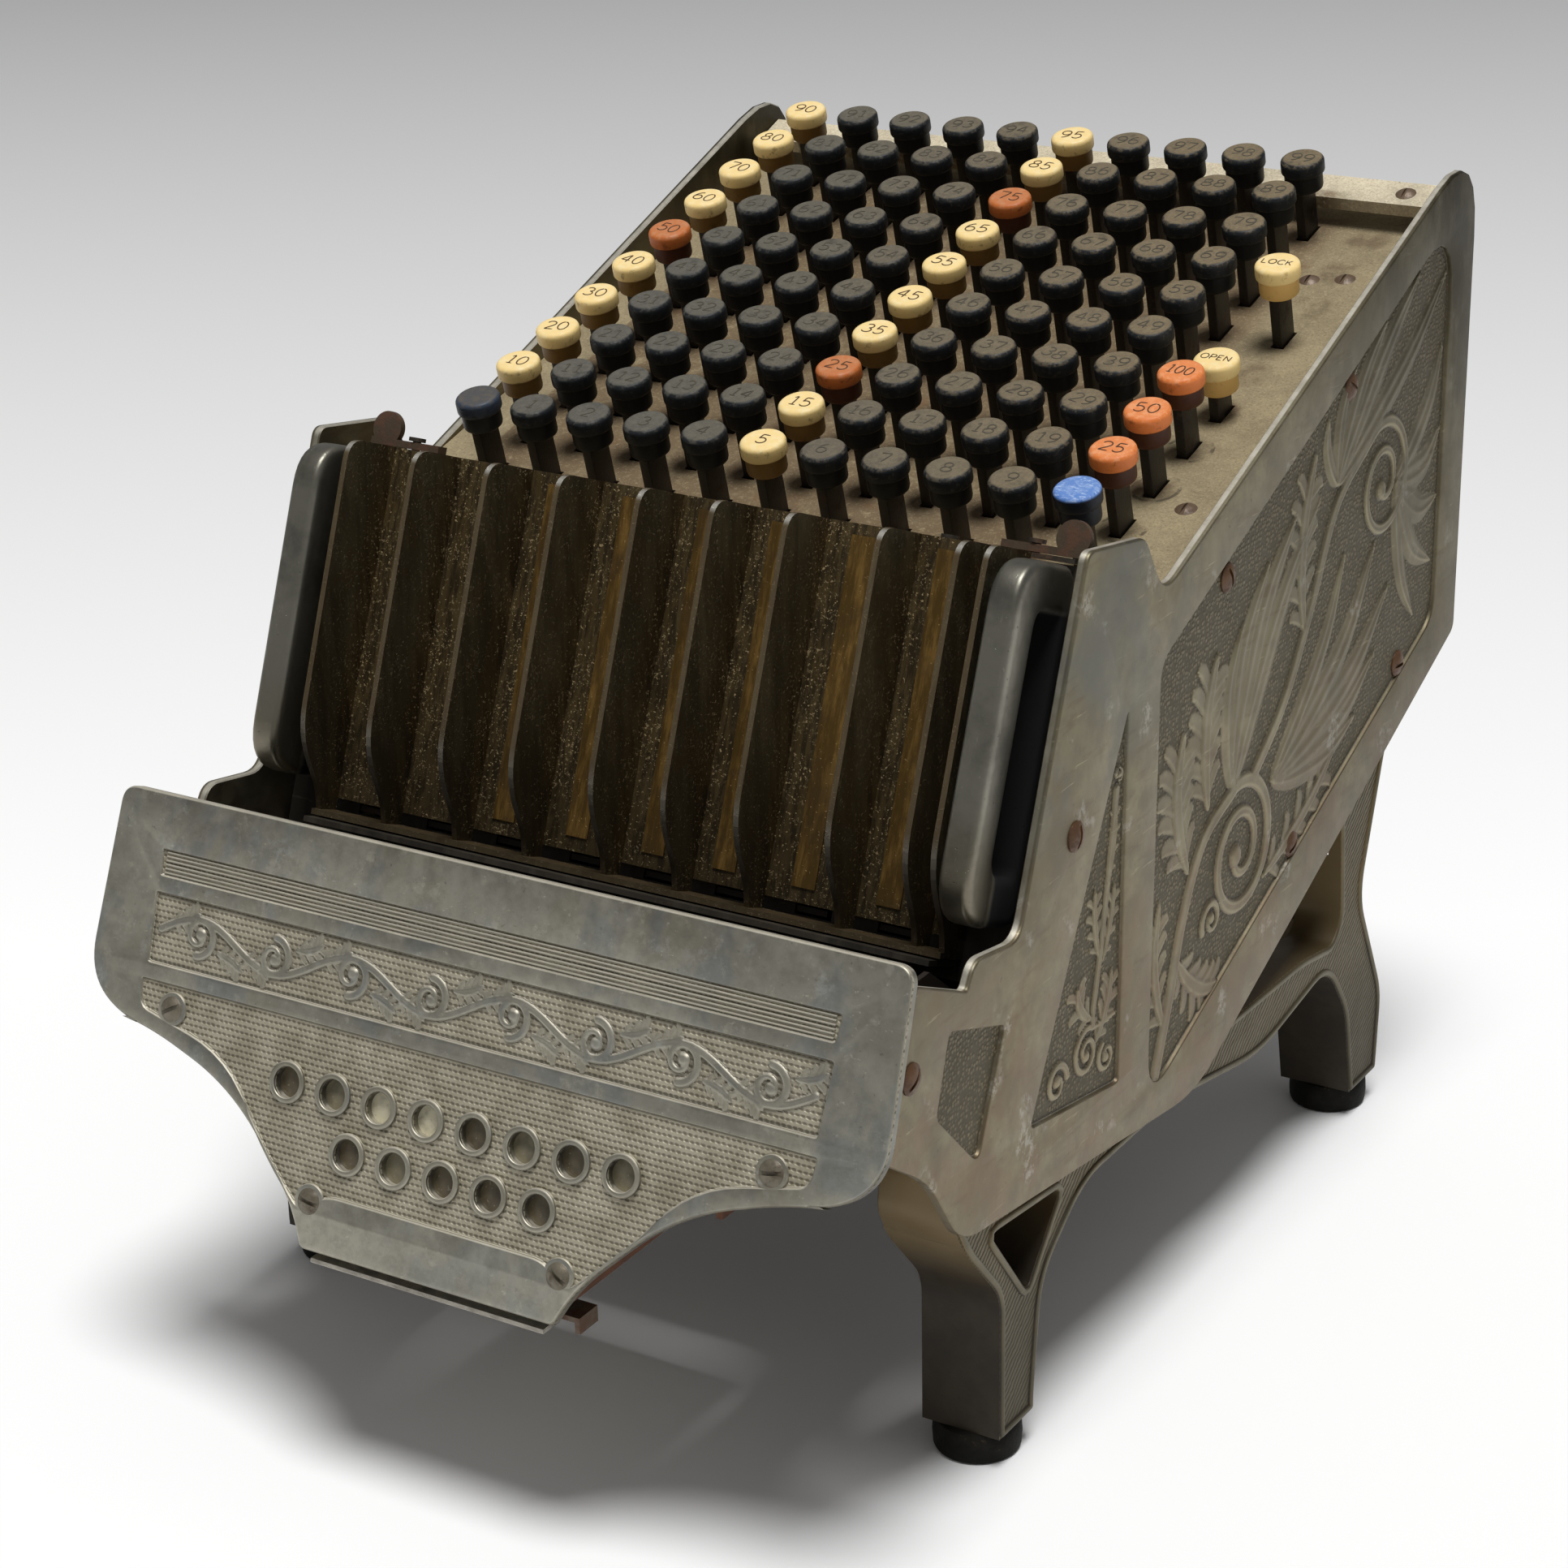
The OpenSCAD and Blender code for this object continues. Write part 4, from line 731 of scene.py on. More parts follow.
def casting(name, base, dust, place="panel"):
    """Worn nickel on a sand casting. Stipple lies on the sunk fields, dirt and painted shade in the hollows
    and between the stipple, and bare bright metal with painted highlight on what stands proud. The place is
    panel, carving, plate or leg."""
    p = Paint(name, base)
    broad = p.facing("X").size().step(0.55, 0.85)
    low, sunk = sunk_fields(p, place, broad)
    stipple = stippled(p, place)
    # The dark between the stipple: partly dirt, partly painted shade
    ground = sunk * (1 - stipple)
    cloud, grain = p.noise(9, 6, 0.65), p.noise(0.9, 3, 0.6)
    scratch = p.noise(2.6, 3, 0.7, p.stretched(1.0, 0.14, 1.7)).step(0.64, 0.72)
    nicks = p.noise(1.6, 2, 0.5).step(0.70, 0.76)
    worn = 0.3 if place == "plate" else 0.6
    p.colour = p.mix(p.noise(45, 5, 0.6).step(0.38, 0.66), 0.84, 1.18)
    p.lay(cloud.step(0.40, 0.72) * worn, 0.60)
    p.lay(p.noise(30, 4, 0.6).step(0.50, 0.66) * worn, dust)
    p.lay(scratch * 0.4, 2.0)
    p.lay(nicks * 0.5, 0.4)
    if place == "plate":
        plate_wear(p, low, ground, cloud)
    else:
        if place != "leg":
            panel_wear(p, low)
        p.lay(low * 0.5, tint(dust, 1.25))
        # Dirt and painted shade between the pebbles
        p.lay(ground * 0.74, (0.050, 0.042, 0.024))
    bright = 1 - 0.4 * cloud.step(0.4, 0.8).most(low)
    if place in ("carving", "plate"):
        # Painted shade and highlight: the carving's hollows are darkened as dirt and shade, its crests
        # lightened as worn metal and highlight
        cavity = p.node("ShaderNodeAttribute", {}, "Fac", attribute_name="cavity")
        hollow_dirt_and_shade, crest_wear_and_highlight = cavity.step(0.02, 0.26), cavity.step(-0.03, -0.22)
        p.lay(hollow_dirt_and_shade * (0.80 if place == "carving" else 0.65), tint(dust, 0.26))
        p.lay(crest_wear_and_highlight * 0.55, 1.45 if place == "carving" else 1.2)
        bright = bright * (1 - hollow_dirt_and_shade * 0.6)
    if place == "leg":
        # Painted shade: the brown flanges are darker low down, and all of each leg darkens towards the floor
        brown = p.mix(cloud.step(0.35, 0.7), (0.036, 0.026, 0.014), (0.020, 0.015, 0.009))
        brown = p.mix(p.z.step(50, 84) * 0.85, brown, (0.20, 0.14, 0.062))
        p.lay(p.z.step(72, 26) * 0.6, 0.30)
        p.lay(1 - broad, brown)
        bright = bright * (0.35 + 0.65 * broad)
    else:
        bright = bright * (1 - edges_worn_and_lit(p, place, broad, cloud) * 0.6)
    normal = p.bump(stipple * sunk + grain * 0.10 + cloud * 0.25, 0.34, 0.9)
    return p.finish(0.40 + cloud * 0.2 + sunk * 0.10, bright, normal)


def polished(name, base):
    """Nickel rubbed by hands, darker in broad patches, finely scratched along its length and
    painted black with shade inside the grip."""
    p = Paint(name, base)
    cloud = p.noise(16, 5, 0.6)
    scratch = p.noise(1.3, 3, 0.7, p.stretched(1, 0.5, 0.14)).step(0.6, 0.74)
    p.lay(cloud.step(0.38, 0.7), 0.55)
    p.lay(scratch * 0.3, 1.6)
    low = p.front_rise().step(-58, -84) * (0.35 + cloud * 0.6)
    p.lay(low * 0.6, (0.17, 0.135, 0.075))
    pits = p.noise(1.1, 2).step(0.68, 0.76)
    p.lay(pits * 0.6, 0.3)
    # Painted shade: black inside the grip
    darkening = p.front_depth().step(7.2, 10.5) * p.front_rise().step(-13.0, -15.0)
    p.lay(darkening, (0.002, 0.002, 0.002))
    normal = p.bump(cloud + pits * -0.3 + scratch * 0.15, 0.2)
    return p.finish(0.30 + cloud * 0.2 + darkening * 0.6, 0.92 - darkening * 0.9, normal)


def dusty_deck(name, base):
    """A sheet under years of dust: fluff in clumps, browner and darker among the keys with dirt and
    painted shade, rust at the stems and a worn ring round each of the single keys' stems."""
    p = Paint(name, base)
    run, x = p.deck_run() - ROW_0, p.x - COLUMN_0
    dx, dy = x.from_mark(PITCH_X), run.from_mark(PITCH_Y)
    from_stem = (dx * dx + dy * dy).maths("SQRT")
    inside = run.step(-12, -8) * x.step(201, 198) * x.step(-10, -9) * run.step(200, 197)
    last = x.step(180.5, 181) * x.step(200, 199.5) * run.step(73, 72)
    cloud, fine, grain = p.noise(22, 6, 0.65), p.noise(1.6, 4, 0.7), p.noise(0.7, 3, 0.7)
    ring = from_stem.near(6.6, 0.7) * last * p.noise(6).step(0.46, 0.58)
    rust = from_stem.step(9.0, 4.0) * inside * p.noise(7, 4).step(0.35, 0.7)
    keys_dirt_and_shade = inside * x.step(186, 172) * 0.9
    p.lay(cloud.step(0.35, 0.68), 0.72)
    # Among the keys: browner and darker, partly dirt and partly painted shade
    p.lay(keys_dirt_and_shade * p.noise(9, 5, 0.7).step(0.20, 0.52), (0.175, 0.115, 0.058))
    p.lay(fine.step(0.5, 0.75) * 0.5, 1.35)
    p.lay(grain.step(0.50, 0.36) * 0.45, 0.42)
    p.lay(grain.step(0.58, 0.70) * 0.45, 1.55)
    p.lay(p.noise(14, 3).step(0.6, 0.72) * inside * 0.5, (0.20, 0.105, 0.045))
    p.lay(rust * 0.6, (0.105, 0.062, 0.030))
    p.lay(p.noise(0.8, 2, 0.5).step(0.68, 0.74) * 0.6, (0.09, 0.06, 0.035))
    p.lay(ring * 0.7, (0.06, 0.045, 0.03))
    return p.finish(0.82, 0.08, p.bump(fine + cloud * 1.4 - ring * 0.8, 0.35))


def tray_bronze(name, base):
    """Dark bronzed sheet under golden dust. The ribs' edges are lighter, with painted highlights on
    their round top corners and low down at their bend."""
    p = Paint(name, base)
    depth, rise = p.front_depth(), p.front_rise()
    streak = p.noise(3.2, 5, 0.7, p.stretched(1, 0.45, 0.09))
    specks = p.noise(0.75, 2, 0.5).step(0.63, 0.70) * p.noise(9, 3).step(0.30, 0.54)
    fluff = p.noise(1.0, 4, 0.75).step(0.56, 0.68) * p.noise(8, 4).step(0.42, 0.62)
    edge = p.facing("X").size().step(0.6, 0.3) * depth.step(20.3, 19.6)
    # Painted highlights on the ribs' round top corners and low down at their bend
    top = depth.step(4.0, 1.0) * rise.step(-4.0, -2.0)
    foot = rise.step(-73, -80) * rise.step(-96, -90) * 0.3
    rib_glint, back = edge * top.most(foot), depth.step(10, 20)
    dust = (specks * 0.9).most(fluff * (0.4 + 0.5 * back)) * (0.35 + 0.65 * back)
    dark = p.noise(1.7, 5, 0.7, p.stretched(1, 0.45, 0.06)).step(0.42, 0.60)
    p.colour = p.mix(streak.step(0.35, 0.7), 1.5, 3.0)
    p.lay(p.noise(14, 5, 0.6).step(0.5, 0.7) * 0.5, (0.085, 0.052, 0.022))
    p.lay(back * 0.55, (0.15, 0.095, 0.033))
    p.lay(back * dark * 0.75, (0.030, 0.022, 0.012))
    p.lay(dust, (0.50, 0.38, 0.20))
    p.lay(edge * 0.6, (0.095, 0.062, 0.028))
    p.lay(rib_glint * 0.8, (0.62, 0.60, 0.54))
    p.lay(rise.step(-66, -96) * 0.35, (0.016, 0.012, 0.007))
    rough = 0.32 + streak * 0.2 + dust * 0.4 - rib_glint * 0.1
    normal = p.bump(streak * 0.5 + specks * 0.9 + fluff * 0.8, 0.12)
    return p.finish(rough, 0.62 - edge * (1 - rib_glint) * 0.3, normal)


RUST = (0.16, 0.075, 0.035)


def aged_steel(name, base, rust=RUST, share=0.5, metallic=0.75):
    """Steel with rust that starts in patches."""
    p = Paint(name, base)
    cloud, fine = p.noise(6, 6, 0.7), p.noise(0.9, 4, 0.7)
    rusted = (cloud + fine * 0.25).step(0.78 - 0.36 * share, 0.95 - 0.3 * share)
    p.lay(cloud.step(0.35, 0.7), 0.6)
    p.lay(rusted, rust)
    p.lay(fine.step(0.6, 0.78) * 0.4, tint(rust, 1.9))
    return p.finish(0.42 + rusted * 0.4, metallic - rusted * metallic * 0.8, p.bump(fine + cloud, 0.09))


def sheet_iron(name, base):
    """Dark oxidised sheet: broad clouds, faint runs downwards, scratches and freckles of rust."""
    p = Paint(name, base)
    cloud, fine = p.noise(12, 5, 0.65), p.noise(1.1, 4, 0.7)
    runs = p.noise(6, 4, 0.6, p.stretched(1, 1, 0.12))
    scratch = p.noise(3.0, 3, 0.7, p.stretched(0.16, 0.4, 1)).step(0.66, 0.72)
    freckles = p.noise(1.8, 4, 0.7).step(0.60, 0.70) * p.noise(24, 4).step(0.46, 0.62)
    p.lay(p.noise(60, 4, 0.6).step(0.35, 0.65), 0.55)
    p.lay(runs.step(0.45, 0.7) * 0.5, 1.7)
    p.lay(cloud.step(0.5, 0.7) * 0.4, (0.055, 0.038, 0.022))
    p.lay(freckles * 0.7, (0.13, 0.062, 0.028))
    p.lay(scratch * 0.35, 3.0)
    return p.finish(0.45 + cloud * 0.25 + freckles * 0.2, 0.55, p.bump(fine * 0.5 + cloud, 0.1))


def worn_brass(name, base):
    """Brass strips, brown where the coins don't rub them, under golden dust."""
    p = Paint(name, base)
    streak = p.noise(2.6, 5, 0.7, p.stretched(1, 0.4, 0.08))
    cloud = p.noise(11, 4)
    specks = p.noise(0.75, 2, 0.5).step(0.66, 0.73) * p.noise(9, 3).step(0.34, 0.60)
    p.colour = p.mix(streak.step(0.42, 0.68), 0.42, base)
    p.lay(cloud.step(0.45, 0.66) * 0.6, (0.11, 0.068, 0.028))
    p.lay(specks * 0.7, (0.44, 0.32, 0.15))
    return p.finish(0.34 + cloud * 0.25 + specks * 0.3, 0.8, p.bump(streak + specks, 0.08))


def old_paint(name, base, bare):
    """Brown paint with chips down to the sheet, and dark painted shade above the outlet."""
    p = Paint(name, base)
    cloud = p.noise(12, 6, 0.65)
    chips = p.noise(3.0, 4, 0.6).step(0.62, 0.66)
    p.lay(cloud.step(0.35, 0.7), 0.55)
    p.lay(chips * 0.8, bare)
    # Painted shade: dark above the outlet, where the hopper lies inside the case
    p.lay(p.z.step(BASE_H + 22, BASE_H + 42), (0.018, 0.012, 0.008))
    return p.finish(0.5 + cloud * 0.2, 0.1, p.bump(cloud * 0.6 - chips * 0.5, 0.15))


def moulded(name, base, lower, dust, amount, band, shine=0.3, top=KEY_TOP, streak=0.12, cool=None):
    """A key cap: its band and top, a darker neck, grime round the edge and dust lying on top,
    which is cooler towards the left where a cool colour is given."""
    p = Paint(name, base)
    if cool:
        dust = p.mix((p.x + p.y * 0.35).step(-70, 120), cool, dust)
    rise = p.deck_rise()
    cloud, fine = p.noise(5, 4, 0.6), p.noise(0.8, 4, 0.7)
    streaks = p.noise(1.4, 4, 0.7, p.stretched(0.6, 1.6, 1)).step(0.53, 0.66)
    worn = rise.near(top - 0.35, 0.8) * p.noise(2.2, 4, 0.7).step(0.46, 0.62)
    neck = rise.step(top - band + 0.3, top - band - 0.5)
    darkening = p.noise(2.6, 4, 0.7).step(0.55, 0.7) * rise.step(top - 0.25, top - 1.0)
    lying = p.facing("Z").step(0.72, 0.96) * (0.45 + fine * 1.1) * cloud.step(0.05, 0.5)
    p.lay(cloud.step(0.3, 0.75) * 0.35, 0.84)
    p.lay(streaks * streak, dust)
    p.lay(worn * 0.35, dust)
    p.lay(neck * 0.98, lower)
    p.lay(darkening * 0.5, tint(lower, 0.5))
    p.lay(lying * amount, dust)
    rough = 0.42 + lying * (0.45 * amount) + cloud * 0.08
    return p.finish(rough, 0.0, p.bump(fine + cloud * 2, 0.05), Specular_IOR_Level=shine)


def glazing(name, base, rough):
    """A pane behind a porthole, clouded and specked with age."""
    p = Paint(name, base)
    cloud = p.noise(4, 4)
    p.lay(cloud.step(0.4, 0.7), 0.6)
    p.lay(p.noise(1.0, 3).step(0.62, 0.7) * 0.5, (0.35, 0.3, 0.22))
    return p.finish(rough, 0.0, p.bump(cloud, 0.1), Coat_Weight=0.4)


def rubbery(name, base):
    """Black rubber with a brown bloom."""
    p = Paint(name, base)
    cloud, fine = p.noise(7, 5), p.noise(1.2, 4)
    p.lay(cloud.step(0.4, 0.7), 2.2)
    p.lay(fine.step(0.6, 0.75) * cloud.step(0.5, 0.65) * 0.6, (0.12, 0.08, 0.04))
    return p.finish(0.72, 0.0, p.bump(fine + cloud, 0.2), Specular_IOR_Level=0.15)


finishes = {}


def finish_of(name):
    """The material of that name, made from the scene's colours when it is first asked for."""
    c = bpy.context.scene.dispenser_colours
    band = bpy.context.scene.dispenser_sizes.cap_band / MM
    cream = (1.0, 0.9, 0.6)
    makers = {
        "panel": (casting, c.nickel, c.dust),
        "carving": (casting, tint(c.nickel, 1.05), c.dust, "carving"),
        "leg": (casting, tint(c.nickel, 0.72), c.dust, "leg"),
        "plate": (casting, c.plate, tint(c.dust, 0.95), "plate"),
        "handle": (polished, tint(c.plate, 0.72)),
        "deck": (dusty_deck, c.deck),
        "bar": (dusty_deck, (0.78, 0.68, 0.49)),
        "tray": (tray_bronze, c.tray),
        "brass": (worn_brass, c.brass),
        "stem": (aged_steel, (0.020, 0.016, 0.013), (0.06, 0.032, 0.018), 0.35, 0.4),
        "steel": (aged_steel, (0.09, 0.076, 0.06), (0.10, 0.055, 0.03)),
        "rusty": (aged_steel, c.screw, (0.115, 0.055, 0.030), 0.6, 0.4),
        "side_screw": (aged_steel, (0.105, 0.048, 0.017), (0.075, 0.032, 0.011), 0.6, 0.2),
        "deck_screw": (aged_steel, (0.17, 0.115, 0.072), (0.12, 0.07, 0.042), 0.5, 0.2),
        "plate_screw": (aged_steel, (0.19, 0.165, 0.12), (0.085, 0.06, 0.036), 0.45, 0.4),
        "gate": (aged_steel, (0.46, 0.43, 0.37), RUST, 0.12),
        "ink": (aged_steel, (0.105, 0.055, 0.028), RUST, 0.1, 0.0),
        "faint_ink": (aged_steel, (0.098, 0.086, 0.062), RUST, 0.1, 0.0),
        "sheet": (sheet_iron, (0.062, 0.053, 0.041)),
        "hopper": (old_paint, c.hopper, (0.30, 0.20, 0.12)),
        "rubber": (rubbery, (0.006, 0.0055, 0.004)),
        "black_key": (moulded, c.black_cap, tint(c.black_cap, 0.5), (0.285, 0.22, 0.13), 0.64, band, 0.22,
                      KEY_TOP, 0.12, (0.165, 0.155, 0.125)),
        # The cream caps' brown neck: partly grime, partly painted shade
        "ivory_key": (moulded, c.ivory_cap, (0.20, 0.105, 0.022), cream, 0.12, band),
        "open_key": (moulded, c.ivory_cap, (0.80, 0.50, 0.16), cream, 0.12, band, 0.3, OPEN_TOP),
        "lock_key": (moulded, c.ivory_cap, (0.80, 0.50, 0.16), cream, 0.12, band),
        "orange_key": (moulded, c.orange_cap, (0.05, 0.014, 0.005), (1.0, 0.55, 0.3), 0.15, band),
        "red_key": (moulded, tint(c.orange_cap, 0.72), (0.07, 0.02, 0.01), (0.6, 0.35, 0.2), 0.2, band),
        "blue_key": (moulded, c.blue_cap, (0.008, 0.009, 0.011), (0.50, 0.64, 0.88), 0.10, 0.75, 0.25,
                     KEY_TOP, 0.75),
        "navy_key": (moulded, (0.045, 0.06, 0.09), (0.012, 0.014, 0.018), tint(c.dust, 0.9), 0.35, band),
        "paper": (glazing, (0.66, 0.61, 0.44), 0.5),
        "dark_pane": (glazing, (0.12, 0.095, 0.055), 0.3),
        "green_pane": (glazing, (0.21, 0.185, 0.115), 0.35),
    }
    if name not in finishes:
        make, *values = makers[name]
        finishes[name] = make(name, *values)
    return finishes[name]


def paint_nodes(name, *nodes):
    """Gives solids that keep their shape that finish."""
    for node in nodes:
        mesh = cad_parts[node].data
        mesh.materials.clear()
        mesh.materials.append(finish_of(name))


# Outlines of the castings, as the part's source has them, and profiles of what stands on them


def mirrored(half):
    """An outline alike on both sides of x = 0, from the corners of its right half downwards."""
    left = [(-x, *rest) for x, *rest in half]
    return [left[0], *half, *left[:0:-1]]


PANEL_SCREWS = [
    lean_point(PLATE_BACK + 4.7, PLATE_TOP - 26.9), lean_point(32.4, -68.4),
    (43, deck_z(43) - 19.3), (123, deck_z(123) - 8.2), (168, BASE_H + 83.6), (92, BASE_H + 52.6),
]
CHUTE_Z = FRONT_Z - 95.6
PANEL_OUTLINE = [
    (*lean_point(11.7, 2), 3), (-9, DECK_H + 18.5, 3), (2, DECK_H + 0.2, 8), (REAR_Y, edge_z(REAR_Y), 30),
    (REAR_Y, BASE_H + 81.6, 3), (29.3, BASE_H, 14), (-106, BASE_H + 18, 9), (-122, BASE_H + 42.5, 8),
    (lean_y(PLATE_BACK, BASE_H + 57), BASE_H + 57, 2),
    (lean_y(PLATE_BACK, CHUTE_Z + 11.3), CHUTE_Z + 11.3, 1),
    (-103, CHUTE_Z, 1.5), (-99, CHUTE_Z + 6.6, 4), (lean_y(11.7, CHUTE_Z + 2.8), CHUTE_Z + 2.8, 6),
]
WIDE_CARVING = [(-1, 201), (198, 281), (197, 151), (-5, 69)]
TALL_CARVING = [(-18.5, 194), (-14.5, 194), (-17, 84), (-73, 93.5)]
TALL_FIELD = [(-17, DECK_H - 24.5, 3), (-19.5, BASE_H + 25.1, 2.5), (-70, BASE_H + 33.6, 2.5)]
WIDE_FIELD = [(1.5, edge_z(1.5) - 18.5, 6), (REAR_Y - 17, edge_z(REAR_Y - 17) - 14.4, 24),
              (REAR_Y - 18, BASE_H + 91.1, 8), (-1.7, BASE_H + 10.6, 15)]
SMALL_FIELD = [(-112, BASE_H + 78.6, 2), (-83.5, BASE_H + 68.6, 2), (-97.5, BASE_H + 36.6, 5),
               (-118.5, BASE_H + 58.1, 2)]
LEG_OUTLINE = [
    (-101, BASE_H + 35.6, 4), (-104, BASE_H + 20.6, 4), (-98, BASE_H + 9.6, 5), (-80.5, BASE_H - 10.4, 6),
    (-80.5, 9, 0), (-62, 9, 0), (-62, 14, 3), (-57.5, BASE_H - 15.4, 9), (-34, BASE_H + 1.1, 10),
    (20, BASE_H + 1.1, 12), (78, BASE_H - 9.9, 14), (128, BASE_H - 1.9, 10), (143.5, BASE_H - 22.4, 6),
    (150, 9, 0), (170, 9, 0), (172, BASE_H - 26.4, 7), (151, BASE_H + 13.6, 9), (166, BASE_H + 57.6, 6),
    (176, BASE_H + 77.6, 4), (172, BASE_H + 89.6, 4), (160, BASE_H + 87.6, 6), (96, BASE_H + 59.6, 6),
    (84, BASE_H + 59.6, 4), (60, BASE_H + 38.6, 8), (-20, BASE_H + 29.6, 8),
]
LEG_CHEEK = [(-101.2, 96, 4), (-104, 82.5, 4), (-99.5, 74, 3), (-86, 74, 1), (-86, 96, 2)]
# How far the cheek's outline is inset at each distance from the middle of the case
CHEEK_STEPS = ((1.1, 95), (0.4, 95.2), (0, 95.8), (0, HALF_IN - 0.2))
LEG_FRONT_HOLE = [(-86, BASE_H + 10.1, 4), (-47, BASE_H + 5.6, 4), (-66, BASE_H - 15.9, 3)]
LEG_REAR_HOLE = [(52, BASE_H + 10.1, 4), (108, BASE_H + 8.6, 6), (131, BASE_H + 4.6, 4),
                 (137, BASE_H + 11.6, 4), (134, BASE_H + 45.6, 5), (100, BASE_H + 29.6, 5)]
# Beads round the openings: distance from the edge, spacing of their points, width and height
BEAD_INSET, BEAD_STEP, BEAD_W, BEAD_H = 1.3, 1.5, 2.2, 0.75
FOOT_PROFILE = [
    (0, 0), (10.6, 0), (11.4, 0.4), (11.8, 1.4), (12, 4.5), (11.8, 7.6), (11.2, 8.7), (10.4, 9), (0, 9)]
PLATE_OUTLINE = mirrored([
    (PLATE_HALF, 0, 5), (PLATE_HALF + 2, -54, 12), (PLATE_HALF - 13, -61, 4), (PLATE_HALF - 22, -62.2, 10),
    (PLATE_HALF - 52, -72, 16), (PLATE_HALF - 77, -97, 9), (39.6, -PLATE_H, 1.5),
])
BAND_FIELD = mirrored([(104.5, -14.8, 0.6), (103.8, -21.6, 0.6)])
VINE_FIELD = mirrored([(104.5, -26.2, 0.8), (103.5, -44.8, 0.8)])
PORT_FIELD = mirrored([
    (104.5, -49.5, 0.8), (103.5, -57, 3), (72, -64, 14), (57, -84, 12), (42, -97.5, 3), (34, -92, 4)])
VINE_CARVING = mirrored([(105.5, -25.4), (105, -45.6)])
BAND_RIBS, BAND_RIB_LOW, BAND_RIB_PITCH = 6, -20.9, 1.08
# A rib of the band is a half ellipse: half its width, its height and how deep it is let in, and
# the share of these at each x
RIB_HALF, RIB_RISE, RIB_SINK = 0.36, 0.62, 0.1
RIB_X, RIB_TAPER = (-103.2, -103, 103, 103.2), (0.2, 1, 1, 0.2)
PLATE_EAR = [(-39.6, -120, 1), (-31.5, -120, 1), (-31.5, -136, 1), (-39.6, -136, 1)]
EAR_X = ((105.8, 117.8), (-117.8, -105.8))
PLATE_SCREWS = [(-93, -55.8), (93, -55.8), (-39, -94.6), (39, -94.6)]
SCREW_SEAT = [(1.9, 0.3), (1.9, -0.75), (3.9, -0.8), (4.4, -0.7), (4.6, -0.4), (4.6, 0.3), (1.9, 0.3)]
PORT_PITCH, PORT_R, RING_R = 14.85, 4.1, 5.6
PORT_ROWS = ((8, -66.2), (5, -80.3))
PORTS = [((i - (count - 1) / 2) * PORT_PITCH, z) for count, z in PORT_ROWS for i in range(count)]
PORT_RING = [
    (PORT_R, 0.3), (PORT_R, -0.95), (PORT_R + 0.2, -1.12), (PORT_R + 0.75, -1.2), (RING_R - 0.25, -1.1),
    (RING_R, -0.9), (RING_R + 0.05, 0.3), (PORT_R, 0.3),
]
PANE = [(0, -0.25), (2.5, -0.15), (PORT_R, 0), (PORT_R, 0.8), (0, 0.8)]
PANE_AHEAD = 0.9  # of the plate's back
PANE_KINDS = (1, 2, 0, 0, 1, 2, 1, 2, 1, 2, 1, 1, 1)  # pale, dark or greenish, one for each port
GATE_HALF = 36.5
GATE_LIP = [
    (-162.8, BASE_H + 2.9), (-162.8, BASE_H - 0.9), (-167.0, BASE_H - 0.9), (-167.3, BASE_H - 0.5),
    (-167.0, BASE_H + 0.4), (-164.1, BASE_H + 0.5), (-164.1, BASE_H + 2.9),
]
HANDLE_OUTSIDE = [(-5, -2, 13), (24.5, -2, 5), (24.5, -94, 5), (-5, -94, 14)]
HANDLE_INSIDE = [(GRIP_T - 5, -14, 6), (20.5, -14, 3), (20.5, -81, 3), (GRIP_T - 5, -81, 7)]
BOSS = [(0, 0), (4, 0), (4, 3.0), (4.6, 3.5), (5.0, 4.6), (0, 4.6)]
BOSS_X, BOSS_DEPTH, BOSS_RISES = HANDLE_X - 3.6, 20.0, (-11, -85)


def with_straights(corners):
    """A rounded outline of four corners: nine points round each and five along each straight."""
    loop, made = rounded(corners, 9), []
    for i in range(0, 36, 9):
        a, b = loop[i:i + 9], loop[(i + 9) % 36]
        made += [a, a[-1] + (b - a[-1]) * np.linspace(0, 1, 7)[1:-1, None]]
    return np.concatenate(made)


# Long leaves in sheaves: root and share of the height, then each leaf's tip, sag and width
PANEL_PLUMES = [
    ((50, 146), 0.95, [((54, 194), 5, 12), ((70, 207), 6, 14), ((88, 216), 6, 15), ((104, 216), 4, 13)]),
    ((76, 140), 0.95, [((136, 140), -4, 12), ((150, 156), -6, 14), ((158, 174), -7, 15), ((146, 190), -7, 14),
                       ((124, 194), -5, 11)]),
    ((116, 216), 0.95, [((108, 238), 3, 8), ((126, 248), 4, 10), ((148, 257), 3, 12), ((172, 266), 2, 13),
                        ((193, 262), -3, 12)]),
    ((160, 206), 0.9, [((178, 158), -4, 10), ((190, 172), -5, 12), ((193, 192), -5, 13), ((193, 214), -5, 13),
                       ((192, 240), -4, 12)]),
]
# Acanthus leaves: root, tip, sag, width, pairs of lobes
PANEL_FRONDS = [
    ((22, 132), (18, 174), 5, 11, 6), ((34, 146), (38, 190), 4, 11, 6), ((16, 108), (46, 90), -4, 9, 5),
    ((72, 112), (122, 136), -3, 9, 5), ((96, 176), (100, 230), 5, 10, 6), ((9, 90), (5, 130), 4, 8, 5),
]
TALL_FRONDS = [
    ((-35, 112), (-43, 124), 2, 6, 3), ((-31, 128), (-33.5, 148), 1, 4.6, 4),
    ((-29, 126), (-22.5, 146), -1, 4.4, 4), ((-33, 104), (-23.5, 122), -2, 6, 4),
    ((-25.5, 148), (-22.5, 170), -1, 3.2, 4),
]


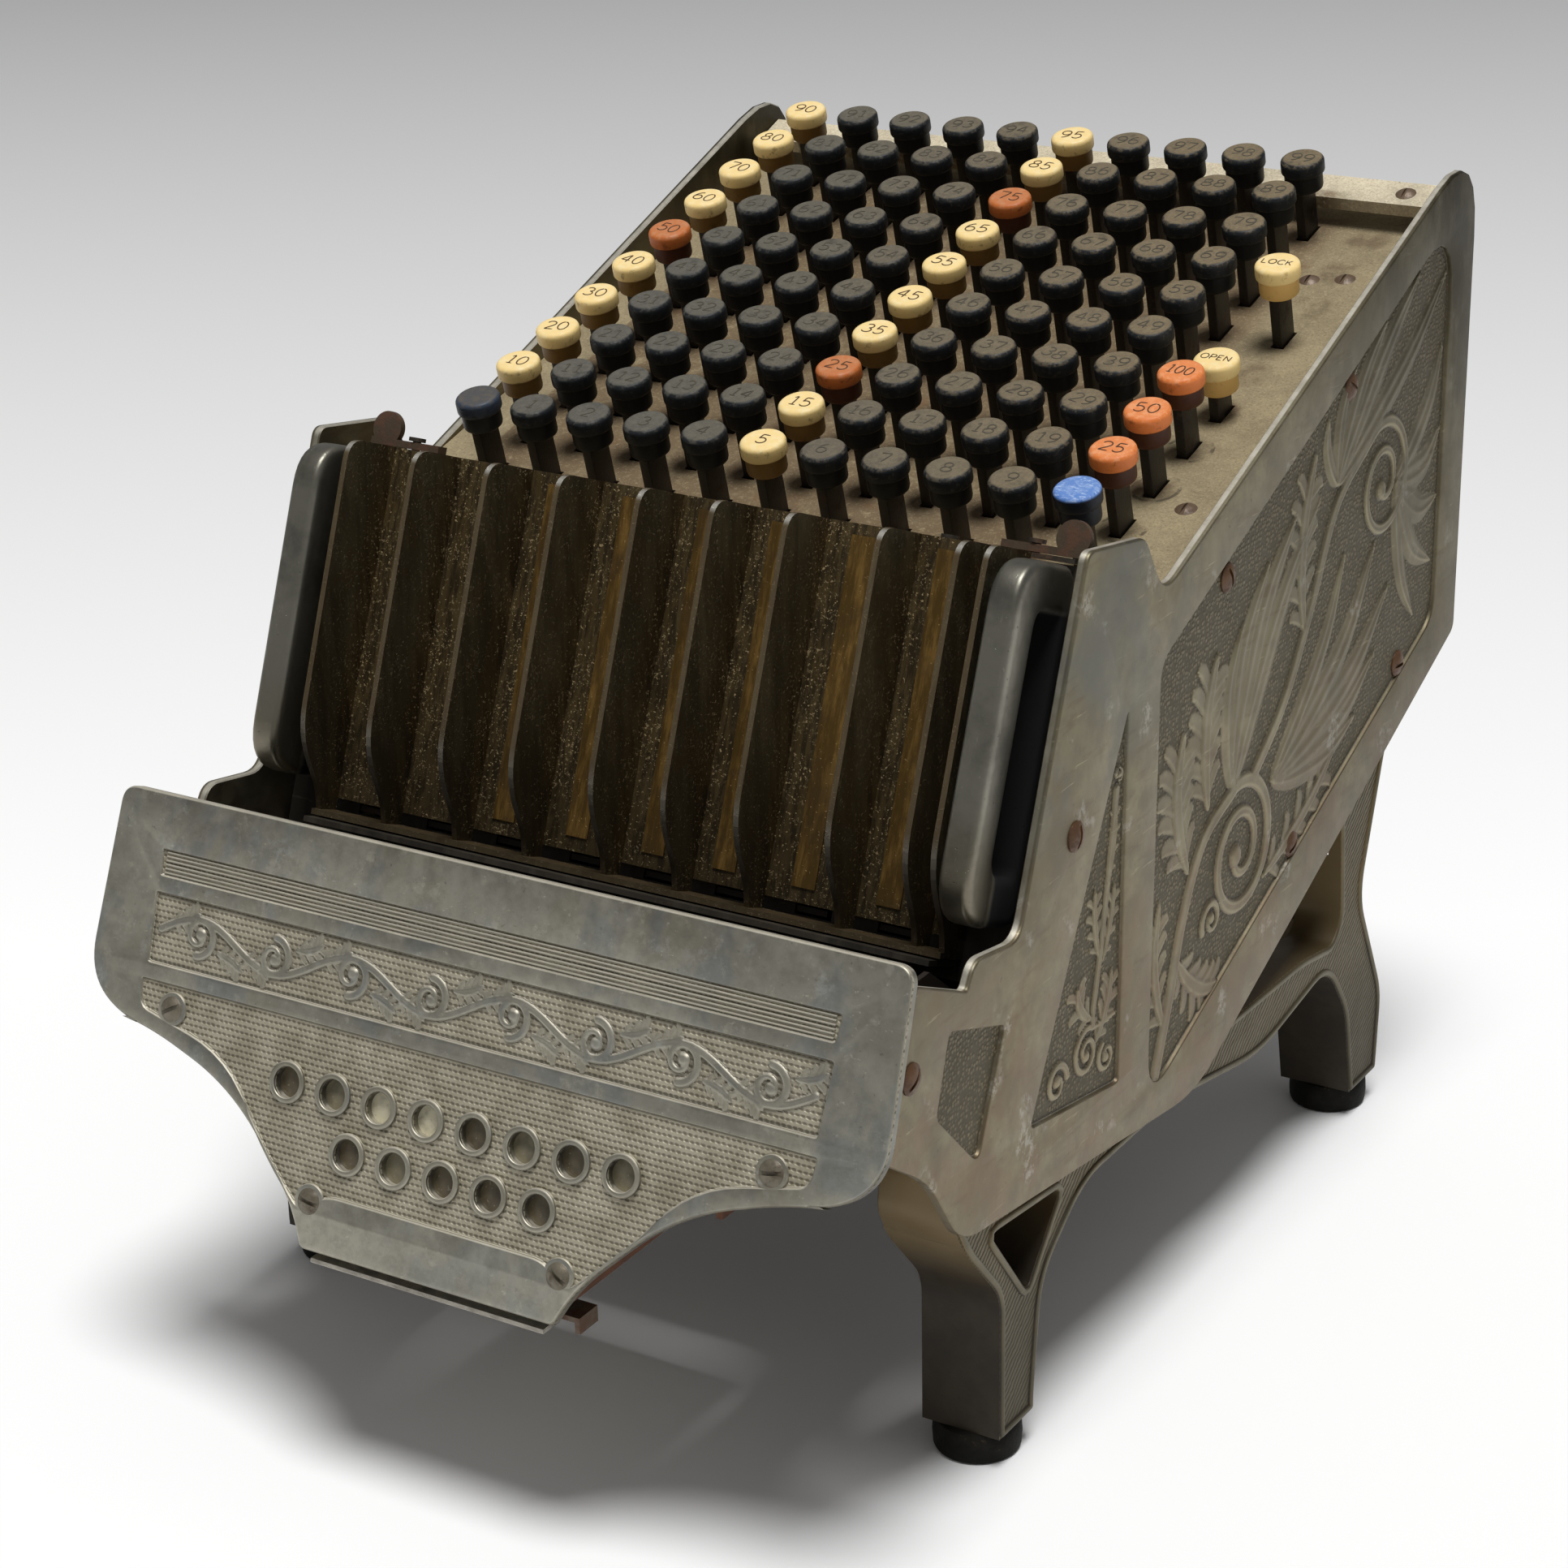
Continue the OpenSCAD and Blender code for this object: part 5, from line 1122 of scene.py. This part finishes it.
def panel_strokes(high):
    """Acanthus on an S-shaped stem: a big volute low in front, another high at the rear, long
    ribbed leaves between them and small fronds along the borders."""
    s = []
    for root, share, leaves in PANEL_PLUMES:
        for tip, sag, width in leaves:
            s.append(plume(root, tip, sag, width, high * share))
    for root, tip, sag, width, lobes in PANEL_FRONDS:
        s += frond(root, tip, sag, width, high, lobes)
    s += scroll([(4, 78), (12, 98), (20, 120), (32, 138)], (56, 126), 21, 1.75, 100, -1, 6.4, high * 1.08)
    s += scroll([(64, 146), (84, 162), (100, 184), (116, 210)], (150, 208), 19, 1.7, 125, -1, 5.6,
                high * 1.08)
    s += curl((38, 112), 6, 1.2, 200, -1, 3.0, high)
    return s


def tall_strokes(high):
    """A climbing stem with leaves in pairs and volutes that shrink towards the tip."""
    s = scroll([(-22, 172), (-26, 150), (-30, 130), (-34, 113)], (-37.5, 103.5), 7.0, 1.5, 60, 1, 3.0, high)
    for root, tip, sag, width, lobes in TALL_FRONDS:
        s += frond(root, tip, sag, width, high, lobes)
    s += curl((-54, 101.5), 5.6, 1.3, 0, 1, 2.6, high)
    s += curl((-26, 98), 4.6, 1.25, 120, 1, 2.2, high)
    s += curl((-21.5, 176), 2.2, 1.1, -60, 1, 1.3, high)
    return s


def vine_strokes(high):
    """A running scroll: a wave of stems with a volute in every bend and leaves on its crests."""
    bends, step, mid, half = 8, 25.2, -35.5, 101
    t = np.linspace(-1, 1, 500)
    wave = np.stack([t * half, mid + 4.6 * np.sin(t * half * math.pi / step)], -1)
    s = [stem(wave, 2.5, 2.5, high, 0.35)]
    for k in range(bends):
        x = (k - (bends - 1) / 2) * step
        up = 1 if k % 2 else -1
        s += frond((x - 10, mid - up * 2.2), (x - 0.5, mid - up * 6.4), up * 0.8, 3.8, high, 4)
        s += frond((x + 6.5, mid + up * 3.0), (x + 15.5, mid + up * 6.2), -up * 0.8, 3.8, high, 4)
        s += curl((x, mid - up * 0.4), 5.4, 1.35, 90 * up, -up, 2.6, high)
    return s


# Figures on the keys: lines in a box one unit high


def arc(cx, cy, rx, ry, start, end, count=16):
    """Part of an ellipse between two angles in degrees."""
    a = np.radians(np.linspace(start, end, count))
    return np.stack([cx + rx * np.cos(a), cy + ry * np.sin(a)], -1)


def straight(*points):
    """Straight lines through the points."""
    return resampled(np.array(points, float), 0.12, closed=False)


FIGURES = {
    "0": [arc(0.3, 0.5, 0.27, 0.5, 90, 450, 25)],
    "1": [straight((0.14, 0.8), (0.32, 1.0), (0.32, 0.0)), straight((0.14, 0.0), (0.5, 0.0))],
    "2": [np.concatenate([
        arc(0.3, 0.72, 0.25, 0.28, 165, -35), straight((0.42, 0.42), (0.05, 0.0), (0.57, 0.0))])],
    "3": [np.concatenate([arc(0.28, 0.76, 0.22, 0.24, 150, -80), arc(0.28, 0.27, 0.27, 0.27, 80, -155)])],
    "4": [straight((0.44, 0.0), (0.44, 1.0), (0.03, 0.3), (0.6, 0.3))],
    "5": [np.concatenate([
        straight((0.53, 1.0), (0.14, 1.0), (0.1, 0.55)), arc(0.28, 0.32, 0.27, 0.32, 130, -150)])],
    "6": [np.concatenate([arc(0.46, 0.4, 0.42, 0.6, 95, 180), arc(0.3, 0.3, 0.26, 0.3, 180, 530, 24)])],
    "7": [straight((0.05, 0.88), (0.05, 1.0), (0.57, 1.0), (0.26, 0.0))],
    "8": [arc(0.3, 0.76, 0.21, 0.24, -90, 270, 20), arc(0.3, 0.26, 0.27, 0.26, 90, 450, 20)],
    "9": [np.concatenate([arc(0.14, 0.6, 0.42, 0.6, -85, 0), arc(0.3, 0.7, 0.26, 0.3, 0, 350, 24)])],
    "O": [arc(0.36, 0.5, 0.35, 0.5, 90, 450, 25)],
    "P": [straight((0.05, 0.0), (0.05, 1.0), (0.3, 1.0)), arc(0.3, 0.74, 0.24, 0.26, 90, -90),
          straight((0.05, 0.48), (0.3, 0.48))],
    "E": [straight((0.5, 1.0), (0.05, 1.0), (0.05, 0.0), (0.52, 0.0)), straight((0.05, 0.52), (0.42, 0.52))],
    "N": [straight((0.05, 0.0), (0.05, 1.0), (0.58, 0.0), (0.58, 1.0))],
    "L": [straight((0.05, 1.0), (0.05, 0.0), (0.5, 0.0))],
    "C": [arc(0.38, 0.5, 0.36, 0.5, 45, 315, 22)],
    "K": [straight((0.05, 0.0), (0.05, 1.0)), straight((0.52, 1.0), (0.07, 0.45)),
          straight((0.22, 0.6), (0.56, 0.0))],
}
# Spread of the keys' lean as a slope and of their figures' turn in radians, and the height of
# the figures' lines off the cap
KEY_LEAN, FIGURE_TURN, FIGURE_LIFT = 0.010, 0.10, 0.03
# Height, share of the width and line of a word's figures, by the number of them
FIGURE_SIZES = {1: (4.4, 1.25, 0.44), 2: (4.4, 1.25, 0.44), 3: (4.0, 1.0, 0.44), 4: (2.5, 1.25, 0.34)}
RED_KEYS = ((0, 5), (5, 2), (5, 7))
# The keys by themselves: name, x, row, height of the top, finish, word
SINGLE_KEYS = (
    ("blue", SINGLE_X, 0, KEY_TOP, "blue_key", ""),
    ("quarter", SINGLE_X, 1, KEY_TOP, "orange_key", "25"),
    ("half", SINGLE_X, 2, KEY_TOP, "orange_key", "50"),
    ("dollar", SINGLE_X, 3, KEY_TOP, "orange_key", "100"),
    ("open", WORD_X, 3.97, OPEN_TOP, "open_key", "OPEN"),
    ("lock", WORD_X, 6.01, KEY_TOP, "lock_key", "LOCK"),
)


def figure_grids(text, height, wide, line, turn, place):
    """A low bead along every line of the figures: a flat half round carried along it, drawn in
    to a point at both ends, with the word centred and turned on the key."""
    gap = 0.16
    widths = [max(s[:, 0].max() for s in FIGURES[c]) for c in text]
    at = -(sum(widths) + gap * (len(text) - 1)) / 2
    profile = np.array([(-0.5, -0.5), (-0.42, 0.12), (0, 0.2), (0.42, 0.12), (0.5, -0.5), (0, -0.7)]) * line
    ca, sa = math.cos(turn), math.sin(turn)
    for c, width in zip(text, widths):
        for points in FIGURES[c]:
            p = (points + (at, -0.5)) * (height * wide, height) @ np.array([[ca, sa], [-sa, ca]])
            scale = np.ones(len(p))
            scale[[0, -1]] = 0.35
            yield line_sweep(place, p, 0.0, profile, False, scale)
        at += width + gap


def key_profile(d, h, band, dish):
    """Half section of a cap, from the middle of its top round to the middle underneath."""
    r, neck = d / 2, d / 2 - 0.8
    top = [(0, -dish), (r * 0.45, -dish * 0.6), (r - 1.7, 0), (r - 1.15, -0.05), (r - 0.62, -0.24),
           (r - 0.24, -0.6), (r - 0.05, -1.05), (r, -1.5)]
    under = [(r, 0.45 - band), (r - 0.12, 0.1 - band), (r - 0.45, -band - 0.25), (neck, -band - 0.6)]
    return top + under + [(neck, -h + 1.1), (neck - 0.2, -h + 0.45), (neck - 0.7, -h), (0, -h)]


def add_key(skin, rng, at, slots, text, sizes):
    """One key: a turned cap that leans a little, its figures and its flat stem with rounded
    corners. It stands at x, the distance up the deck and the height of its top."""
    x, u, top = at
    cap, ink, steel = slots
    diameter, height, band = sizes.cap_diameter / MM, sizes.cap_height / MM, sizes.cap_band / MM
    lean_x, lean_u = rng.normal(0, KEY_LEAN, 2)

    def place(a, b, h):
        return deck_at(x + a, u + b, top + h + a * lean_x + b * lean_u)

    skin.turned(key_profile(diameter, height, band, 0.05), place, 36, cap)
    if text:
        on_top = lambda p, w: place(p[..., 0], p[..., 1], w + FIGURE_LIFT)
        for grid in figure_grids(text, *FIGURE_SIZES[len(text)], rng.normal(0, FIGURE_TURN), on_top):
            skin.closed_tube(grid, ink)
    a, b = STEM_T / 2, STEM_W / 2
    loop = rounded([(-a, -b, 0.5), (a, -b, 0.5), (a, b, 0.5), (-a, b, 0.5)], 3)
    ends = np.array([STEM_FOOT, top - height + 0.5])
    skin.closed_tube(deck_at(x + loop[None, :, 0], u + loop[None, :, 1], ends[:, None]), steel)


# What a user would change


class DispenserSizes(bpy.types.PropertyGroup):
    """Sizes of the finish; those of the solids come with the frame."""

    cap_diameter: FloatProperty(
        name="Cap diameter", description="Diameter of a key's cap", default=0.013, unit="LENGTH")
    cap_height: FloatProperty(
        name="Cap height", description="Height of a key's cap", default=0.010, unit="LENGTH")
    cap_band: FloatProperty(
        name="Cap band", description="Height of a cap's wide top band",
        default=0.0044, unit="LENGTH", precision=4)
    edge_roll: FloatProperty(
        name="Rolled edge", description="Radius of the castings' edges",
        default=0.0007, unit="LENGTH", precision=4)
    relief: FloatProperty(
        name="Relief", description="Height of the side panels' ornament",
        default=0.0011, unit="LENGTH", precision=4)
    vine_relief: FloatProperty(
        name="Front relief", description="Height of the front plate's ornament",
        default=0.0008, unit="LENGTH", precision=4)
    carving_step: FloatProperty(
        name="Carving step", description="Spacing of the ornament's points",
        default=0.00064, unit="LENGTH", precision=4)


class DispenserColours(bpy.types.PropertyGroup):
    """Colours of the finish."""

    nickel: FloatVectorProperty(
        name="Nickel", description="Worn castings", subtype="COLOR", default=(0.238, 0.210, 0.138))
    plate: FloatVectorProperty(
        name="Plate", description="Front plate and handles", subtype="COLOR", default=(0.36, 0.345, 0.285))
    dust: FloatVectorProperty(
        name="Dust", description="Dust and dirt", subtype="COLOR", default=(0.17, 0.135, 0.08))
    deck: FloatVectorProperty(
        name="Deck", description="Dusty deck", subtype="COLOR", default=(0.385, 0.31, 0.18))
    tray: FloatVectorProperty(
        name="Tray", description="Bronzed tray", subtype="COLOR", default=(0.044, 0.036, 0.020))
    brass: FloatVectorProperty(
        name="Brass", description="Wear strips", subtype="COLOR", default=(0.40, 0.235, 0.065))
    hopper: FloatVectorProperty(
        name="Hopper", description="Brown paint of the hopper", subtype="COLOR", default=(0.16, 0.055, 0.02))
    screw: FloatVectorProperty(
        name="Screws", description="Rusty screws", subtype="COLOR", default=(0.12, 0.085, 0.055))
    black_cap: FloatVectorProperty(
        name="Black caps", description="Black key caps", subtype="COLOR", default=(0.013, 0.0155, 0.018))
    ivory_cap: FloatVectorProperty(
        name="Cream caps", description="Cream key caps", subtype="COLOR", default=(1.0, 0.735, 0.305))
    orange_cap: FloatVectorProperty(
        name="Orange caps", description="Orange key caps", subtype="COLOR", default=(0.80, 0.22, 0.05))
    blue_cap: FloatVectorProperty(
        name="Blue cap", description="Blue key cap", subtype="COLOR", default=(0.10, 0.23, 0.60))


# One operator for each piece or group of like pieces

SIDES = (("right", 1), ("left", -1))


class DISPENSER_OT_side_panels(bpy.types.Operator):
    """Cast side panels with three sunk fields and carved ornament"""

    bl_idname = "dispenser.side_panels"
    bl_label = "Side panels"

    def execute(self, context):
        s = context.scene.dispenser_sizes
        wide, tall, small = rounded(WIDE_FIELD), rounded(TALL_FIELD), rounded(SMALL_FIELD)
        high, step, roll = s.relief / MM, s.carving_step / MM, s.edge_roll / MM
        carvings = [(WIDE_CARVING, panel_strokes(high), step, wide),
                    (TALL_CARVING, tall_strokes(high * 0.9), step * 0.8, tall)]
        floor = HALF_W - FIELD_DEPTH
        edge_screws = [circle(p, SCREW_HOLE_R) for p in PANEL_SCREWS[:2]]
        for side, sign in SIDES:
            place, skin, ornament = side_at(sign), Skin(), Skin()
            slab(skin, place, rounded(PANEL_OUTLINE), HALF_IN, HALF_W, roll, edge_screws,
                 [(field, FIELD_DEPTH, []) for field in (wide, tall, small)])
            skin.build("side_casting_" + side, ["panel"], "case", "casting", ["side_panel_" + side], 30)
            for corners, strokes, spacing, field in carvings:
                relief(ornament, place, corners, floor, 1, strokes, spacing, field, FIELD_DEPTH)
            ornament.build("side_ornament_" + side, ["carving"], "case", "casting", sharp=70)
        return {"FINISHED"}


class DISPENSER_OT_legs(bpy.types.Operator):
    """Leg frames with rolled edges and beads round their openings, and rubber feet"""

    bl_idname = "dispenser.legs"
    bl_label = "Legs"

    def execute(self, context):
        for side, sign in SIDES:
            softened("leg_frame_" + side, "leg", 0.9, "casting", 3)
            skin, place = Skin(), side_at(sign)
            for outline, way in ((LEG_OUTLINE, 1), (LEG_FRONT_HOLE, -1), (LEG_REAR_HOLE, -1)):
                path = inset(resampled(rounded(outline), BEAD_STEP), way * BEAD_INSET)
                moulding(skin, place, path, HALF_IN, BEAD_W, BEAD_H)
            cheek = rounded(LEG_CHEEK, 9)
            skin.closed_tube(np.stack(
                [place(inset(cheek, r), np.full(len(cheek), w)) for r, w in CHEEK_STEPS]))
            skin.build("leg_beads_" + side, ["leg"], "case", "casting", sharp=60)
        skin = Skin()
        for x in (-FOOT_X, FOOT_X):
            for y in FOOT_Y:
                skin.turned(FOOT_PROFILE, lambda a, b, h, x=x, y=y: case_at(x + a, y + b, h), 40)
        skin.build("feet", ["rubber"], "case", "rubber", ["rubber_feet"])
        return {"FINISHED"}


class DISPENSER_OT_front_plate(bpy.types.Operator):
    """Cast front plate: thin ribs, a running scroll, ringed portholes and their panes"""

    bl_idname = "dispenser.front_plate"
    bl_label = "Front plate"

    def execute(self, context):
        s = context.scene.dispenser_sizes
        skin, vine, panes = Skin(), Skin(), Skin()
        band, middle, ports = rounded(BAND_FIELD, 3), rounded(VINE_FIELD, 3), rounded(PORT_FIELD)
        islands = [circle(p, PORT_R, 32) for p in PORTS] + [circle(p, SCREW_HOLE_R, 24) for p in PLATE_SCREWS]
        slab(skin, plate_at, rounded(PLATE_OUTLINE, 12), PLATE_BACK, PLATE_SET, s.edge_roll / MM, (),
             [(band, PLATE_FIELD, []), (middle, PLATE_FIELD, []), (ports, PLATE_FIELD, islands)])
        floor = PLATE_SET + PLATE_FIELD
        around = np.linspace(0, math.pi, 7)
        x, size = np.array(RIB_X)[:, None], np.array(RIB_TAPER)[:, None]
        for k in range(BAND_RIBS):
            h = BAND_RIB_LOW + k * BAND_RIB_PITCH + np.cos(around)[None] * RIB_HALF * size
            d = floor + RIB_SINK - np.sin(around)[None] * RIB_RISE * size
            skin.closed_tube(plate_at(np.stack(np.broadcast_arrays(x, h), -1), d))
        for centres, profile in ((PORTS, PORT_RING), (PLATE_SCREWS, SCREW_SEAT)):
            for centre in centres:
                skin.turned(profile, plate_spot(centre, floor), 32)
        ears = rounded(PLATE_EAR, 3)
        for ends in EAR_X:
            skin.closed_tube(np.stack([front_at(x, ears[:, 0], ears[:, 1]) for x in ends]))
        skin.build("front_casting", ["plate"], "case", "front_casting", ["front_plate"], 32)
        relief(vine, plate_at, VINE_CARVING, floor, -1, vine_strokes(s.vine_relief / MM),
               s.carving_step / MM * 0.6, middle, PLATE_FIELD)
        vine.build("front_scroll", ["plate"], "case", "front_casting", sharp=70)
        for centre, kind in zip(PORTS, PANE_KINDS):
            panes.turned(PANE, plate_spot(centre, PLATE_BACK - PANE_AHEAD), 24, kind)
        panes.build("pane_discs", ["paper", "dark_pane", "green_pane"], "case", "panes")
        paint_nodes("dark_pane", "porthole_panes")
        return {"FINISHED"}


class DISPENSER_OT_deck(bpy.types.Operator):
    """Dusty key deck, the bar at its rear and the covers under it"""

    bl_idname = "dispenser.deck"
    bl_label = "Deck"

    def execute(self, context):
        paint_nodes("deck", "key_deck")
        softened("deck_rear_bar", "bar", 0.5, "deck", 2)
        paint_nodes("sheet", "rear_cover", "bottom_cover")
        paint_nodes("steel", "stem_guide", "lock_bar", "cross_rods")
        return {"FINISHED"}


class DISPENSER_OT_keys(bpy.types.Operator):
    """All keys with their stems and figures, one piece for each set that moves together"""

    bl_idname = "dispenser.keys"
    bl_label = "Keys"

    def execute(self, context):
        s = context.scene.dispenser_sizes
        rng = np.random.default_rng(7)
        names = ["black_key", "ivory_key", "red_key", "navy_key", "ink", "faint_ink", "stem"]
        black, ivory, red, navy, ink, faint_ink, steel = range(len(names))
        for c in range(10):
            skin = Skin()
            for r in range(10):
                blank, pale = (c, r) == (0, 0), c == 5 or (c == 0 and r > 0)
                cap = navy if blank else red if (c, r) in RED_KEYS else ivory if pale else black
                slots = cap, ink if pale else faint_ink, steel
                at = COLUMN_0 + c * PITCH_X, ROW_0 + r * PITCH_Y, KEY_TOP
                add_key(skin, rng, at, slots, "" if blank else str(10 * r + c), s)
            slot = "ivory_key" if c in (0, 5) else "black_key"
            skin.build(f"keys_{c}_finish", names, f"keys_{c}", slot, [f"key_column_{c}"])
        for name, x, row, top, finish, text in SINGLE_KEYS:
            skin = Skin()
            add_key(skin, rng, (x, ROW_0 + row * PITCH_Y, top), (0, 1, 2), text, s)
            slot = "ivory_key" if finish in ("open_key", "lock_key") else finish
            node = f"key_{name}"
            skin.build(node + "_finish", [finish, "ink", "stem"], node, slot, [node])
        return {"FINISHED"}


class DISPENSER_OT_tray(bpy.types.Operator):
    """Coin tray with its handles, brass strips, rails and latches"""

    bl_idname = "dispenser.tray"
    bl_label = "Coin tray"

    def execute(self, context):
        out, hole = with_straights(HANDLE_OUTSIDE), with_straights(HANDLE_INSIDE)
        section = rounded([(-1, -1, 0.46), (1, -1, 0.46), (1, 1, 0.46), (-1, 1, 0.46)], 6)
        mid, half = (out + hole) / 2, (out - hole) / 2
        ring = mid[:, None] + half[:, None] * section[None, :, :1]
        for side, sign in SIDES:
            skin = Skin()
            x = sign * (HANDLE_X + HANDLE_W / 2 + HANDLE_W / 2 * section[:, 1])
            skin.grid(front_at(x[None], ring[..., 0], ring[..., 1]), wrap_u=True, wrap_v=True)
            for rise in BOSS_RISES:
                skin.turned(BOSS, lambda a, b, w, rise=rise: front_at(
                    sign * (BOSS_X + w), BOSS_DEPTH + a, rise + b), 28)
            skin.build("handle_" + side, ["handle"], "tray", "handle", ["tray_handle_" + side], 50)
        paint_nodes("tray", "coin_tray", "tray_ribs", "tray_ledge")
        paint_nodes("brass", "wear_strips")
        paint_nodes("steel", "latch_strips", "strip_rivets", "payout_shaft")
        paint_nodes("sheet", "tray_bed")
        paint_nodes("rusty", "tray_latch_left", "tray_latch_right")
        paint_nodes("stem", *[f"coin_ejector_{i}" for i in range(1, 9)])
        return {"FINISHED"}


class DISPENSER_OT_hardware(bpy.types.Operator):
    """Hopper, outlet gate, screws and pins"""

    bl_idname = "dispenser.hardware"
    bl_label = "Hopper and screws"

    def execute(self, context):
        lip, skin = np.array(GATE_LIP), Skin()
        ends = np.array([-GATE_HALF, GATE_HALF])
        skin.closed_tube(case_at(ends[:, None], lip[None, :, 0], lip[None, :, 1]))
        skin.build("gate_lip", ["gate"], "gate", "gate")
        for name, node in (("hopper", "coin_hopper"), ("gate", "outlet_gate"), ("rusty", "gate_tab"),
                           ("side_screw", "panel_screws"), ("deck_screw", "deck_screws"),
                           ("plate_screw", "plate_screws"), ("steel", "gate_pin")):
            paint_nodes(name, node)
        return {"FINISHED"}


# Half the floor's side in metres; its grey is exp((FADE_FROM - d) / FADE), where d is how far
# behind the machine a point lies along FADE_WAY, in millimetres
FLOOR_HALF, FADE_FROM, FADE, FADE_WAY = 12, 200, 2200, (-0.5285, 0.8489)
SUN_STRENGTH, SUN_SPREAD, SUN_FROM = 2.6, math.radians(22), (0.12, -0.12, 1.0)
WORLD_STRENGTH = 0.2


def floor_paint():
    """White by the machine and greyer behind it, a painted fall-off of the light; it keeps the shadow."""
    p = Paint("studio_floor")
    # Painted light: the floor's white falls off to grey behind the machine
    away = p.x * FADE_WAY[0] + p.y * FADE_WAY[1]
    painted_falloff = ((FADE_FROM - away) / FADE).maths("EXPONENT").least(1.0)
    return p.surface("ShaderNodeBsdfDiffuse", {0: painted_falloff})


class DISPENSER_OT_stage(bpy.types.Operator):
    """Floor, lamp, world and the photograph's camera"""

    bl_idname = "dispenser.stage"
    bl_label = "Stage"

    def execute(self, context):
        scene = context.scene
        mesh = bpy.data.meshes.new("studio_floor")
        corners = [(x * FLOOR_HALF, y * FLOOR_HALF, 0) for x, y in ((-1, -1), (1, -1), (1, 1), (-1, 1))]
        mesh.from_pydata(corners, [], [(0, 1, 2, 3)])
        floor = bpy.data.objects.new("studio_floor", mesh)
        mesh.materials.append(floor_paint())
        scene.collection.objects.link(floor)
        sun = bpy.data.lights.new("overhead", "SUN")
        sun.energy, sun.angle = SUN_STRENGTH, SUN_SPREAD
        lamp = bpy.data.objects.new("overhead", sun)
        lamp.rotation_euler = Vector(SUN_FROM).to_track_quat("Z", "Y").to_euler()
        scene.collection.objects.link(lamp)
        world = bpy.data.worlds.new("studio")
        world.use_nodes = True
        back = world.node_tree.nodes["Background"]
        back.inputs[0].default_value = (1, 1, 1, 1)
        back.inputs[1].default_value = WORLD_STRENGTH
        scene.world = world
        lens = bpy.data.cameras.new("camera")
        lens.lens, lens.sensor_width, lens.sensor_fit = CAMERA_LENS, 36, "AUTO"
        lens.clip_start, lens.clip_end = 0.05, 40
        camera = bpy.data.objects.new("camera", lens)
        camera.matrix_world = Matrix.Translation(CAMERA_AT) @ Matrix(CAMERA_AXES).transposed().to_4x4()
        scene.collection.objects.link(camera)
        scene.camera = camera
        scene.view_settings.view_transform = "Standard"
        return {"FINISHED"}


class DISPENSER_PT_panel(bpy.types.Panel):
    """Lists the pieces in the order in which they are made"""

    bl_idname = "DISPENSER_PT_panel"
    bl_label = "Coin dispenser"
    bl_space_type = "VIEW_3D"
    bl_region_type = "UI"
    bl_category = "Dispenser"

    def draw(self, context):
        for piece in PIECES:
            self.layout.operator(piece.bl_idname)
        for group in (context.scene.dispenser_sizes, context.scene.dispenser_colours):
            for key in group.bl_rna.properties.keys():
                if key not in ("rna_type", "name"):
                    self.layout.prop(group, key)


PIECES = (
    DISPENSER_OT_side_panels, DISPENSER_OT_legs, DISPENSER_OT_front_plate, DISPENSER_OT_deck,
    DISPENSER_OT_keys, DISPENSER_OT_tray, DISPENSER_OT_hardware, DISPENSER_OT_stage,
)
CLASSES = (DispenserSizes, DispenserColours, *PIECES, DISPENSER_PT_panel)


def register():
    for cls in CLASSES:
        bpy.utils.register_class(cls)
    bpy.types.Scene.dispenser_sizes = PointerProperty(type=DispenserSizes)
    bpy.types.Scene.dispenser_colours = PointerProperty(type=DispenserColours)


def unregister():
    del bpy.types.Scene.dispenser_colours
    del bpy.types.Scene.dispenser_sizes
    for cls in reversed(CLASSES):
        bpy.utils.unregister_class(cls)


def main():
    register()
    for piece in PIECES:
        group, name = piece.bl_idname.split(".")
        getattr(getattr(bpy.ops, group), name)()


if __name__ == "__main__":
    main()
